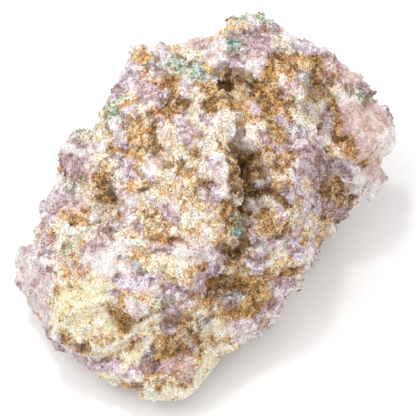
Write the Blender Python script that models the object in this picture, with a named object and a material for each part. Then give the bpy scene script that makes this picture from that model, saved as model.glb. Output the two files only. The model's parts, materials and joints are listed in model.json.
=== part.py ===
"""Raw lepidolite: a loose hand specimen of lilac mica, cream feldspar and grey quartz.

The minerals grew into one another, so the specimen is one solid. It is built as such a stone
is broken: a handful of blunt blocks of mineral, fused where they meet, with worn edges, a chain
of leached hollows across the upper face and a lumpy skin of crystals. It lies on its flattest
side, on a few worn patches of its underside.

Lengths are in millimetres until the last step, which scales the mesh to metres.
"""

import math

import bmesh
import bpy
from mathutils import Matrix, Vector, geometry, noise

# The specimen is described as it is seen from one side: an eye looks down on it at a slant.
# A corner is (right, up, height): how far right of and above the middle of the view it
# appears, measured at the point that the eye looks at, and how high it is above the table.
EYE_ELEVATION = math.radians(60)
EYE_DISTANCE = 231.0
LOOKED_AT_HEIGHT = 18.0

# The view's frame turned about the vertical puts the specimen's longest side along X.
TURN = math.radians(-50)

# Each block of mineral is the convex body round its corners. The first list of a block holds
# corners that are seen, and the second holds buried or hidden ones as (x, y, height) over the
# table, x to the right and y away from the eye.
BLOCKS = {
    "core": (
        [],
        [
            (-28, -21, -3), (-18, -28, -3), (-6, -32, -3), (2, -25, -3), (12, -17, -3),
            (20, -5, -3), (25, 6, -3), (25, 20, -3), (14, 29, -3), (0, 30, -3),
            (-13, 23, -3), (-23, 11, -3), (-29, -4, -3),
            (-32, -16, 9), (-26, -24, 9), (-6, -35, 9), (3, -27, 9), (12, -20, 10),
            (19, -9, 10), (25, 2, 10), (31, 13, 13), (29, 27, 16), (16, 35, 17), (3, 37, 17),
            (-9, 31, 16), (-18, 23, 15), (-25, 13, 13), (-31, 1, 11), (-34, -7, 9),
            (8, 17, 33), (-8, 10, 30), (3, -2, 32), (-14, -14, 22), (16, 8, 28), (6, -14, 22),
        ],
    ),
    "back boulder": (
        [],
        [
            (-10, 28, 26), (2, 34, 28), (10, 38, 22), (6, 41, 16), (-4, 39, 12), (-12, 32, 10),
            (8, 36, 7), (-6, 26, 3), (10, 28, 4),
        ],
    ),
    "right back boulder": (
        [],
        [
            (19, 34, 20), (29, 28, 19), (33, 20, 14), (28, 30, 10), (19, 34, 8), (30, 15, 5),
            (22, 24, 26), (18, 24, 4),
        ],
    ),
    "left back boulder": (
        [],
        [
            (-28, 10, 14), (-24, 19, 14), (-16, 28, 16), (-20, 22, 5), (-27, 7, 3),
            (-14, 22, 22), (-22, 14, 19), (-16, 10, 3),
        ],
    ),
    "plateau": (
        [
            (-13.2, 33.6, 30.5), (-15.4, 31.6, 28), (-16.4, 27.2, 26), (-20.4, 20, 22),
            (-21.6, 16, 21), (-9.6, 32, 32), (-5.6, 31.6, 33), (1.2, 28.4, 36),
            (3.6, 20.6, 38.5), (4.4, 11.6, 38.5), (5.6, 3.6, 36.5), (5.6, -5.2, 31),
            (0.8, -10, 29.5), (-7.6, -18.4, 25), (-13.6, -22, 22.5), (-26.6, 9.6, 22),
            (-29.6, -4.4, 20.5), (-27.6, -16.4, 20),
        ],
        [(-26, -18, 5), (-8, -34, 8), (4, -20, 10), (0, 15, 10), (-14, 16, 10), (-25, 0, 6)],
    ),
    "left shoulder": (
        [
            (-29.2, 11.2, 15), (-27.2, 14.8, 16.5), (-24.8, 16.2, 18), (-22.4, 15.4, 20),
            (-30.4, 5.2, 14), (-32.4, 1.6, 13), (-32.8, -0.4, 12), (-21.6, 9.6, 24),
            (-22.6, 1.6, 24), (-25.6, -4.4, 22),
        ],
        [(-26, 4, 4), (-24, -14, 2), (-16, 0, 4), (-30, -8, 5)],
    ),
    "left flank": (
        [
            (-32.4, 1.6, 13), (-32.8, 0.2, 12), (-35.2, -5.8, 12), (-36, -8, 12),
            (-29, -10, 19), (-28, 0, 19.5),
        ],
        [(-30, -14, 4), (-24, 2, 4), (-18, -8, 6)],
    ),
    "quartz lobe": (
        [
            (-35.2, -5.8, 12.5), (-37.2, -8.4, 12), (-39, -13.6, 10.5), (-37.6, -16.4, 8),
            (-36.4, -19, 6.5), (-33.2, -22.6, 5), (-32.6, -8.4, 17), (-29.6, -10.8, 19),
            (-29.2, -18.4, 17), (-31.6, -22.4, 10),
        ],
        [(-30, -22, 1), (-32, -16, 2), (-24, -18, 3), (-26, -26, 10)],
    ),
    "feldspar block": (
        [
            (-30, -15.4, 18.5), (-24.6, -14, 21.5), (-20, -15.4, 22), (-19.2, -22.4, 19.5),
            (-20.6, -25.6, 17), (-25.6, -26.8, 14), (-30.4, -24, 12), (-31.6, -19.4, 14.5),
        ],
        [(-24, -26, 4), (-16, -31, 6), (-14, -24, 14), (-26, -20, 4)],
    ),
    "front left foot": (
        [
            (-33.2, -22.8, 6), (-32, -26.4, 5), (-29.6, -28.8, 4.5), (-24, -31.6, 5),
            (-22, -34, 5), (-18, -35.6, 5.5), (-14, -36, 6), (-30.4, -24.4, 11),
            (-21.6, -29.8, 14), (-13.6, -28.4, 15), (-7.6, -27.4, 15),
        ],
        [(-28, -23, 0), (-16, -30, 0.5), (-6, -33, 1), (-12, -22, 0)],
    ),
    "white ledge": (
        [
            (-22.6, -29.6, 13), (-16, -26.2, 16.5), (-8, -20.4, 20.5), (-6.4, -19.2, 21),
            (-21.8, -32.4, 9.5), (-15, -28.8, 13), (-8.4, -22.2, 18),
        ],
        [(-18, -18, 10), (-8, -14, 14)],
    ),
    "scaly mass": (
        [
            (-19.2, -12, 24), (-11.6, -11.6, 27), (-3.6, -12.4, 28), (-0.4, -12.8, 27.5),
            (-1.6, -16.4, 24), (-8.6, -19.6, 23), (-13.2, -22, 21.5), (-19.6, -20.4, 20),
        ],
        [(-14, -34, 10), (-4, -30, 12), (-2, -24, 12)],
    ),
    "crown": (
        [
            (5.6, 38, 34.5), (7.4, 38.4, 34.5), (3.6, 35.6, 34), (-1, 34.2, 33), (-4.6, 34, 32),
            (11.8, 37.6, 34), (15.4, 35.6, 33), (18, 33.6, 32), (4.4, 29.2, 37),
            (11.4, 29.6, 38), (16.4, 28.6, 36.5), (-2, 29, 34), (-7.6, 28.6, 32),
            (-8.4, 31.4, 31.5), (-5.4, 32.8, 31.5),
        ],
        [(6, 27, 16), (16, 24, 15), (0, 22, 14), (8, 10, 20)],
    ),
    "middle ridge": (
        [
            (10.8, 27.6, 37), (18.4, 29.6, 34.5), (7.6, 22.6, 35.5), (9.6, 17.6, 37.5),
            (12, 14.6, 37), (18.4, 17.6, 33.5), (13.4, 8.6, 35), (18.4, 5.6, 31),
            (16.4, 1.6, 31), (20.8, -3.4, 23), (21.6, -7.6, 16), (22.2, -10, 13),
            (10.8, -3.4, 29.5), (10.8, -9.4, 25), (4.4, -10.8, 24.5),
        ],
        [(5, -22, 10), (17, -11, 5), (22, 0, 6), (20, 10, 10)],
    ),
    "upper ledge": (
        [
            (0, -12, 23.5), (10.8, -12.4, 20.5), (18.4, -10.6, 17), (22, -10, 13),
            (19.4, -13.8, 12), (9.6, -14.4, 18.5),
        ],
        [(4, -22, 12), (15, -14, 8), (0, -20, 18)],
    ),
    "lower ledge": (
        [
            (-0.6, -18.4, 18), (6.4, -16.8, 18), (15.4, -15.4, 14), (18.4, -16.4, 9),
            (15, -18.6, 7.5), (10.8, -18.4, 12.5), (4.4, -19.4, 15.5),
        ],
        [(2, -26, 4), (13, -17, 3), (6, -18, 10)],
    ),
    "lilac tooth": (
        [
            (11.6, -19, 11), (14.8, -18.6, 9.5), (14.2, -22, 6), (12.4, -24, 3.5),
            (10.8, -23.8, 3.5), (10, -20.8, 10),
        ],
        [(8, -21, 3), (11, -19, 6)],
    ),
    "front right foot": (
        [
            (10.8, -24, 3.5), (7.4, -27.4, 3), (3.4, -30.4, 2.5), (0.4, -32, 3),
            (-0.8, -35, 3.5), (-2.4, -37.4, 4), (-6, -39.2, 4.5), (-8, -39, 5),
            (-11.6, -37.6, 5.5), (6.4, -23.4, 10), (0.4, -24.4, 12.5), (-6.6, -27.4, 14),
            (-9.6, -34, 10),
        ],
        [(8, -21, 0), (-2, -31.5, 0), (-10, -32.5, 0), (-4, -22, 4)],
    ),
    "saddle": (
        [
            (15.4, 35.6, 33), (18, 33.6, 32), (20.6, 33.2, 30), (22, 32.2, 29), (20, 25, 31.5),
            (14, 26, 35),
        ],
        [(16, 24, 14), (20, 18, 14), (10, 14, 14)],
    ),
    "upper right lobe": (
        [
            (24.4, 31.2, 28), (22, 32.2, 29), (20.6, 33.2, 30), (26.4, 29, 27.5),
            (29.2, 27.2, 26), (30.6, 24.8, 25), (33.6, 22, 23), (34.2, 20.2, 22),
            (27.4, 25.6, 29.5), (22, 27, 32), (28, 20, 28),
        ],
        [(28, 18, 14), (20, 24, 14), (14, 14, 16), (26, 6, 12)],
    ),
    "right lobe": (
        [
            (34.2, 20.2, 22), (36.8, 18, 20), (37.4, 15.2, 18), (37, 12, 16), (34.8, 10, 15),
            (27, 20.4, 29), (27.4, 16.6, 28.5), (31.4, 16.6, 27), (29.4, 11.6, 25),
        ],
        [(31, 7, 10), (33, 12, 12), (20, 8, 12), (20, 11, 24)],
    ),
    "lower right lobe": (
        [
            (34.4, 9.4, 15), (35.2, 6.8, 13), (33.4, 3.2, 11), (31.4, 1.6, 10),
            (28.2, 0.6, 10.5), (28.4, 6.6, 21), (23.4, 8.2, 25.5), (29.4, 9.6, 21.5),
            (22.8, 1.6, 20),
        ],
        [(27, 3, 7), (29, 6, 8), (18, 2, 8), (19, 9, 23)],
    ),
    "purple step": (
        [
            (22.8, 0.6, 15), (27.8, 0.2, 9), (27.8, -1.6, 8), (26, -2.6, 7.5),
            (24.4, -4.8, 7), (22, -2.8, 14),
        ],
        [(20, -5, 4), (24, 2.4, 4), (18, -2, 10)],
    ),
    "ochre tooth": (
        [(22.4, -2.6, 12), (24.2, -4.2, 8.5), (23.6, -6.6, 7.5), (21.6, -7.8, 9), (21.4, -4, 14)],
        [(18, -6, 5), (17, -4, 8)],
    ),
}

# The outline seen from the eye, clockwise from the left end, as (right, up).
OUTLINE = [
    (-39, -13.6), (-38.6, -10.6), (-37.2, -8.4), (-35.2, -5.8), (-32.8, 0.2), (-32.4, 1.6),
    (-30.4, 5.2), (-29.2, 11.2), (-27.2, 14.8), (-24.8, 16.2), (-22.2, 15.6), (-20.6, 20),
    (-16.4, 27.4), (-15.4, 31.6), (-13.2, 33.8), (-9.6, 32.6), (-5.4, 32.4), (-4.6, 34),
    (-1, 34.2), (3.6, 35.6), (5.6, 38), (7.4, 38.4), (11.8, 37.6), (15.4, 35.6), (18, 33.6),
    (20.6, 33.2), (22, 32.2), (24.4, 31.2), (26.4, 29), (29.2, 27.2), (30.6, 24.8), (33.6, 22),
    (34.2, 20.2), (36.8, 18), (37.4, 15.2), (37, 12), (34.8, 10), (35.2, 6.8), (33.4, 3.2),
    (31.4, 1.6), (28.2, 0.6), (27.8, -1.4), (26, -2.6), (24.4, -4.8), (23.4, -6.4),
    (22, -7.6), (22.2, -10), (19.4, -13.8), (18.4, -16.4), (15, -18.6), (14.2, -22),
    (12.4, -24), (10.8, -24), (7.4, -27.4), (3.4, -30.4), (0.4, -32), (-0.8, -35),
    (-2.4, -37.4), (-6, -39.2), (-8, -39), (-11.6, -37.6), (-14, -36), (-18, -35.6),
    (-22, -34), (-24, -31.6), (-29.6, -28.8), (-32, -26.4), (-33.2, -22.8), (-36.6, -18.8),
]

# The outline is matched in this many directions, and stands this far out until the skin's
# sharpest tips are lost. Only what is further out than INNER of the way to it moves.
OUTLINE_DIRECTIONS = 240
OUTLINE_ALLOWANCE = 0.6
INNER = 0.55

# Leached hollows and open seams in the seen faces: the line each follows as (right, up) points,
# its half width and its depth.
HOLLOWS = {
    "pit under the crown": ([(3.4, 27), (5, 24.2)], 2.6, 4.0),
    "brown groove": ([(9, 23.4), (12.8, 20.2), (16.2, 19)], 2.4, 3.2),
    "great hollow": ([(7, 10.4), (8.8, 6.6), (8.4, 1.4)], 3.9, 5.4),
    "green pocket": ([(4.2, -0.6), (6.4, -3.2)], 2.2, 3.0),
    "hollow under the plateau's edge": ([(3.2, -8.8), (7.4, -7.6)], 2.4, 4.0),
    "hollow under the upper ledge": ([(-0.6, -14.6), (3.4, -15)], 2.6, 4.4),
    "slot under the upper ledge": ([(3.4, -14.6), (10, -13.8), (17, -13)], 1.6, 2.4),
    "black pit": ([(-19.4, -3), (-19.8, 1.4)], 2.0, 4.6),
    "pit's upper arm": ([(-20, 1.6), (-22, 4.4)], 1.6, 2.4),
    "brown pit in the scaly mass": ([(-18.6, -20.6), (-16.6, -23.8)], 2.0, 3.0),
    "groove inside the lobes": ([(22.4, 29), (22, 24.6), (25.4, 19.6), (26.6, 14.6)], 1.9, 3.0),
    "recess above the lower lobe": ([(25, 13.4), (28.6, 12.2)], 1.6, 1.4),
    "brown recess of the lower lobe": ([(22.6, 6.6), (26.4, 4.2), (28.4, 2.8)], 2.6, 3.6),
    "crease beside the middle ridge": ([(17.4, 10), (19.4, 5.4), (19.6, 0)], 1.6, 1.8),
    "recess under the scaly ridge": ([(-18, -29), (-11.6, -26.4), (-5.6, -22.6)], 2.2, 2.8),
    "purple recess": ([(-9, -30), (-3.4, -27.4), (2.6, -22.4)], 2.4, 2.6),
    "recess under the lower ledge": ([(3.4, -21.4), (9, -20)], 2.0, 2.4),
    "seam below the white ledge": ([(-22, -30.6), (-14, -28.8), (-8, -25)], 1.4, 1.8),
}

# The edge of a hollow wanders by up to this much, in bends of this size.
HOLLOW_WANDER = 1.3
HOLLOW_BEND = 2.4

# Corners stand this far out before wear rounds them off.
CORNER_ALLOWANCE = 0.6
FUSED_VOXEL = 0.9
WEAR_FACTOR = 0.5
WEAR_PASSES = 3
SKIN_VOXEL = 0.8

# The broken skin: broad swellings, and over them flat crystal faces of two sizes. Each face
# is set in or out by up to its step, and leans by up to its lean.
SWELLING_SIZE = 12.0
SWELLING_HEIGHT = 0.9
CRYSTAL_FACES = [{"size": 7.5, "step": 1.1, "lean": 0.48}, {"size": 3.8, "step": 0.56, "lean": 0.56}]

# The underside rests on worn patches and is hollow between them: where a patch is on the table
# as (x, y), and its radius.
PATCHES = [((-17, -17), 10.0), ((8, 14), 9.0), ((14, -3), 8.0), ((-10, 12), 7.0)]
PATCH_WANDER = 3.0
PATCH_BEND = 8.0
UNDERSIDE_REACH = 7.0
UNDERSIDE_RELIEF = 2.0
UNDERSIDE_LUMP = 9.0

SEED = 4
TRIANGLES = 9200
TABLE_TOUCH = 0.05
MM_TO_M = 0.001

LILAC = (0.55, 0.42, 0.45, 1)
LILAC_ROUGHNESS = 0.55


def table_frame():
    """The eye's place and its right, up and backward directions, in the table's frame."""
    back = Vector((0, -math.cos(EYE_ELEVATION), math.sin(EYE_ELEVATION)))
    right = Vector((1, 0, 0))
    up = back.cross(right)
    eye = Vector((0, 0, LOOKED_AT_HEIGHT)) + EYE_DISTANCE * back
    return eye, right, up, back


EYE, RIGHT, UP, BACK = table_frame()


def seen(right, up, height):
    """The point at that height above the table which appears at (right, up)."""
    ray = right * RIGHT + up * UP - EYE_DISTANCE * BACK
    return EYE + (height - EYE.z) / ray.z * ray


def appears_at(point):
    """Where a point appears: (right, up)."""
    from_eye = point - EYE
    scale = EYE_DISTANCE / -from_eye.dot(BACK)
    return from_eye.dot(RIGHT) * scale, from_eye.dot(UP) * scale


def blocks():
    """Every block as its own convex body, all in one mesh."""
    bodies = bmesh.new()
    for seen_corners, hidden_corners in BLOCKS.values():
        corners = [seen(*corner) for corner in seen_corners]
        corners += [Vector(corner) for corner in hidden_corners]
        middle = sum(corners, Vector()) / len(corners)
        corners = [corner + CORNER_ALLOWANCE * (corner - middle).normalized() for corner in corners]
        block = [bodies.verts.new(corner) for corner in corners]
        hull = bmesh.ops.convex_hull(bodies, input=block)
        inside = set(hull["geom_interior"]) | set(hull["geom_unused"])
        bmesh.ops.delete(bodies, geom=list(inside), context="VERTS")
    bmesh.ops.recalc_face_normals(bodies, faces=bodies.faces)
    return bodies


def smooth_step(t):
    t = min(1.0, max(0.0, t))
    return t * t * (3 - 2 * t)


def distance_to_line(right, up, line):
    """How far (right, up) is from a line of points in the view."""
    nearest = math.inf
    for (x0, y0), (x1, y1) in zip(line, line[1:]):
        along_x, along_y = x1 - x0, y1 - y0
        share = ((right - x0) * along_x + (up - y0) * along_y) / (along_x ** 2 + along_y ** 2)
        share = min(1.0, max(0.0, share))
        gap = math.hypot(right - x0 - share * along_x, up - y0 - share * along_y)
        nearest = min(nearest, gap)
    return nearest


def hollow_depth(point, normal):
    """How far the leached hollows push a point of the skin away from the eye."""
    facing = smooth_step(normal.dot((EYE - point).normalized()) * 3)
    right, up = appears_at(point)
    wander = HOLLOW_WANDER * noise.noise_vector(Vector((right, up, 0)) / HOLLOW_BEND)
    depth = 0.0
    for line, half_width, deepest in HOLLOWS.values():
        gap = distance_to_line(right + wander.x, up + wander.y, line)
        depth = max(depth, deepest * smooth_step(1.6 - 1.2 * gap / half_width))
    return depth * facing


def crystal_face(point, size, step, lean):
    """The height of the flat crystal face that covers a point of the skin."""
    ragged = point + 0.12 * size * noise.noise_vector(point * 2.2 / size)
    _, centres = noise.voronoi(ragged / size)
    centre = centres[0] * size
    slope = noise.noise_vector(centre * 0.83 + Vector((7.1, 3.3, 5.9)))
    return step * noise.noise(centre * 0.61) + lean * slope.dot(point - centre)


def skin_height(point):
    """How far the swellings and crystal faces lift a point of the skin."""
    height = SWELLING_HEIGHT * noise.fractal(point / SWELLING_SIZE, 1.0, 2.0, 2)
    return height + sum(crystal_face(point, **face) for face in CRYSTAL_FACES)


def settle(point):
    """The underside's relief: worn patches lie on the table, and the rest is just above it."""
    height = max(0.0, point.z)
    flat = Vector((point.x, point.y, 0))
    ragged = flat + PATCH_WANDER * noise.noise_vector(flat / PATCH_BEND)
    clear = 1.0
    for (x, y), radius in PATCHES:
        gap = math.hypot(ragged.x - x, ragged.y - y) / radius
        clear = min(clear, smooth_step((gap - 0.55) * 1.6))
    relief = UNDERSIDE_RELIEF * (1.2 + 1.4 * noise.noise(flat / UNDERSIDE_LUMP))
    relief += skin_height(flat)
    low = 1 - smooth_step(height / UNDERSIDE_REACH)
    return Vector((point.x, point.y, height + max(0.0, relief) * clear * low))


def outline_radius(angle):
    """How far the outline is from the middle of the view, in the direction of an angle."""
    along = Vector((math.cos(angle), math.sin(angle)))
    radius = 0.0
    for start, end in zip(OUTLINE, OUTLINE[1:] + OUTLINE[:1]):
        crossing = geometry.intersect_line_line_2d(Vector((0, 0)), along * 99, start, end)
        if crossing:
            radius = max(radius, crossing.length)
    return radius


def fit_outline(points):
    """Moves the outer parts level, so that what the eye sees ends at the outline."""
    count = OUTLINE_DIRECTIONS
    angles = [math.tau * way / count for way in range(count)]
    outline = [outline_radius(angle) + OUTLINE_ALLOWANCE for angle in angles]
    reach = [0.0] * count
    views = []
    for point in points:
        right, up = appears_at(point)
        way = round(math.atan2(up, right) / math.tau * count) % count
        share = math.hypot(right, up) / outline[way]
        reach[way] = max(reach[way], share)
        views.append((right, up, way, share))
    reach = [sum(reach[(way + k) % count] for k in (-1, 0, 1)) / 3 for way in range(count)]
    fitted = []
    for point, (right, up, way, share) in zip(points, views):
        outer = smooth_step((share / reach[way] - INNER) / (1 - INNER))
        scale = 1 + (1 / reach[way] - 1) * outer
        fitted.append(seen(right * scale, up * scale, point.z))
    return fitted


def apply_modifier(obj, kind, **settings):
    modifier = obj.modifiers.new(kind.title(), kind)
    for name, value in settings.items():
        setattr(modifier, name, value)
    bpy.context.view_layer.objects.active = obj
    bpy.ops.object.modifier_apply(modifier=modifier.name)


def specimen():
    """The whole stone as one object, in millimetres, in the table's frame."""
    bodies = blocks()
    mesh = bpy.data.meshes.new("lepidolite_specimen")
    bodies.to_mesh(mesh)
    bodies.free()
    stone = bpy.data.objects.new("lepidolite_specimen", mesh)
    bpy.context.scene.collection.objects.link(stone)
    apply_modifier(stone, "REMESH", mode="VOXEL", voxel_size=FUSED_VOXEL)
    apply_modifier(stone, "SMOOTH", factor=WEAR_FACTOR, iterations=WEAR_PASSES)

    skin = []
    for vertex in stone.data.vertices:
        point, normal = vertex.co, vertex.normal
        lift = normal * skin_height(point)
        skin.append(point + lift - hollow_depth(point, normal) * BACK)
    for vertex, point in zip(stone.data.vertices, fit_outline(skin)):
        vertex.co = settle(point)
    apply_modifier(stone, "REMESH", mode="VOXEL", voxel_size=SKIN_VOXEL)
    return stone


def drop_chips(stone):
    """Keeps the largest body, without chips that the hollows have cut loose from it."""
    cut = bmesh.new()
    cut.from_mesh(stone.data)
    left = set(cut.verts)
    bodies = []
    while left:
        body, edge = set(), [left.pop()]
        while edge:
            vertex = edge.pop()
            body.add(vertex)
            near = {link.other_vert(vertex) for link in vertex.link_edges} & left
            left -= near
            edge.extend(near)
        bodies.append(body)
    bodies.sort(key=len)
    for chip in bodies[:-1]:
        bmesh.ops.delete(cut, geom=list(chip), context="VERTS")
    cut.to_mesh(stone.data)
    cut.free()


def thin_out(stone):
    """Fewer faces, with those on the table flat again."""
    stone.data.calc_loop_triangles()
    apply_modifier(stone, "DECIMATE", ratio=TRIANGLES / len(stone.data.loop_triangles))
    for vertex in stone.data.vertices:
        if vertex.co.z < TABLE_TOUCH:
            vertex.co.z = 0.0


def place(stone):
    """Turned so that the longest side is along X, centred over the origin, in metres."""
    stone.data.transform(Matrix.Rotation(TURN, 4, "Z"))
    across = [[vertex.co[axis] for vertex in stone.data.vertices] for axis in (0, 1)]
    middle = [(min(values) + max(values)) / 2 for values in across]
    stone.data.transform(Matrix.Translation((-middle[0], -middle[1], 0)))
    stone.data.transform(Matrix.Scale(MM_TO_M, 4))


def lilac_mica():
    material = bpy.data.materials.new("lilac_mica")
    material.use_nodes = True
    shader = material.node_tree.nodes["Principled BSDF"]
    shader.inputs["Base Color"].default_value = LILAC
    shader.inputs["Roughness"].default_value = LILAC_ROUGHNESS
    shader.inputs["Metallic"].default_value = 0.0
    return material


def main():
    for obj in list(bpy.data.objects):
        bpy.data.objects.remove(obj)
    noise.seed_set(SEED)
    stone = specimen()
    drop_chips(stone)
    thin_out(stone)
    place(stone)
    stone.data.materials.append(lilac_mica())


main()
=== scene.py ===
import itertools
import json
import math

import bmesh
import bpy
import numpy as np
from mathutils import Matrix, Vector, bvhtree, kdtree

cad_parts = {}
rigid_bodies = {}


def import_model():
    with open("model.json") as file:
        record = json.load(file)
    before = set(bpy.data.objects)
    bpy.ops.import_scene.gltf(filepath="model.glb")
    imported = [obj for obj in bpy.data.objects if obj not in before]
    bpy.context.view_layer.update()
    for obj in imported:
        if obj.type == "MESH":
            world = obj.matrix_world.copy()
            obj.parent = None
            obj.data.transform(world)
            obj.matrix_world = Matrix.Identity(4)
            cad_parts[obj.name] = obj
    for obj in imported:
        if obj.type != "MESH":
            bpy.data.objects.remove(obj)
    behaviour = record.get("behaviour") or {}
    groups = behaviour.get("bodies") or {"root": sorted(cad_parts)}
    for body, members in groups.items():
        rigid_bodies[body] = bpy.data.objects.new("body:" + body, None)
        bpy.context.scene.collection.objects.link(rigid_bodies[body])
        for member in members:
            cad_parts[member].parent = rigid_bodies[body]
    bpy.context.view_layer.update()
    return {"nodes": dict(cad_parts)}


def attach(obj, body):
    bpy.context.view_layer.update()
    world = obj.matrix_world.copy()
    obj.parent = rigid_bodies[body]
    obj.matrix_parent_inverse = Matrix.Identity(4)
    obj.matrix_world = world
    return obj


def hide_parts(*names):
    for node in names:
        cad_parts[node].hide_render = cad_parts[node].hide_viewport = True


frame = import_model()

# A rough piece of lilac mica rock. Lengths are in millimetres up to the finished meshes.
MM = 0.001
SEED = 11

# The photograph's view of the stone.
EYE_ELEVATION = math.radians(60)
EYE_TURN = math.radians(-50)
EYE_DISTANCE = 231.0
LOOKED_AT = Vector((-0.885, -5.330, 18.0))
RIGHT = Vector((math.cos(EYE_TURN), math.sin(EYE_TURN), 0))
BACK = Vector(
    (
        math.sin(EYE_TURN) * math.cos(EYE_ELEVATION),
        -math.cos(EYE_TURN) * math.cos(EYE_ELEVATION),
        math.sin(EYE_ELEVATION),
    )
)
UP = BACK.cross(RIGHT)
EYE = LOOKED_AT + EYE_DISTANCE * BACK

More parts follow.
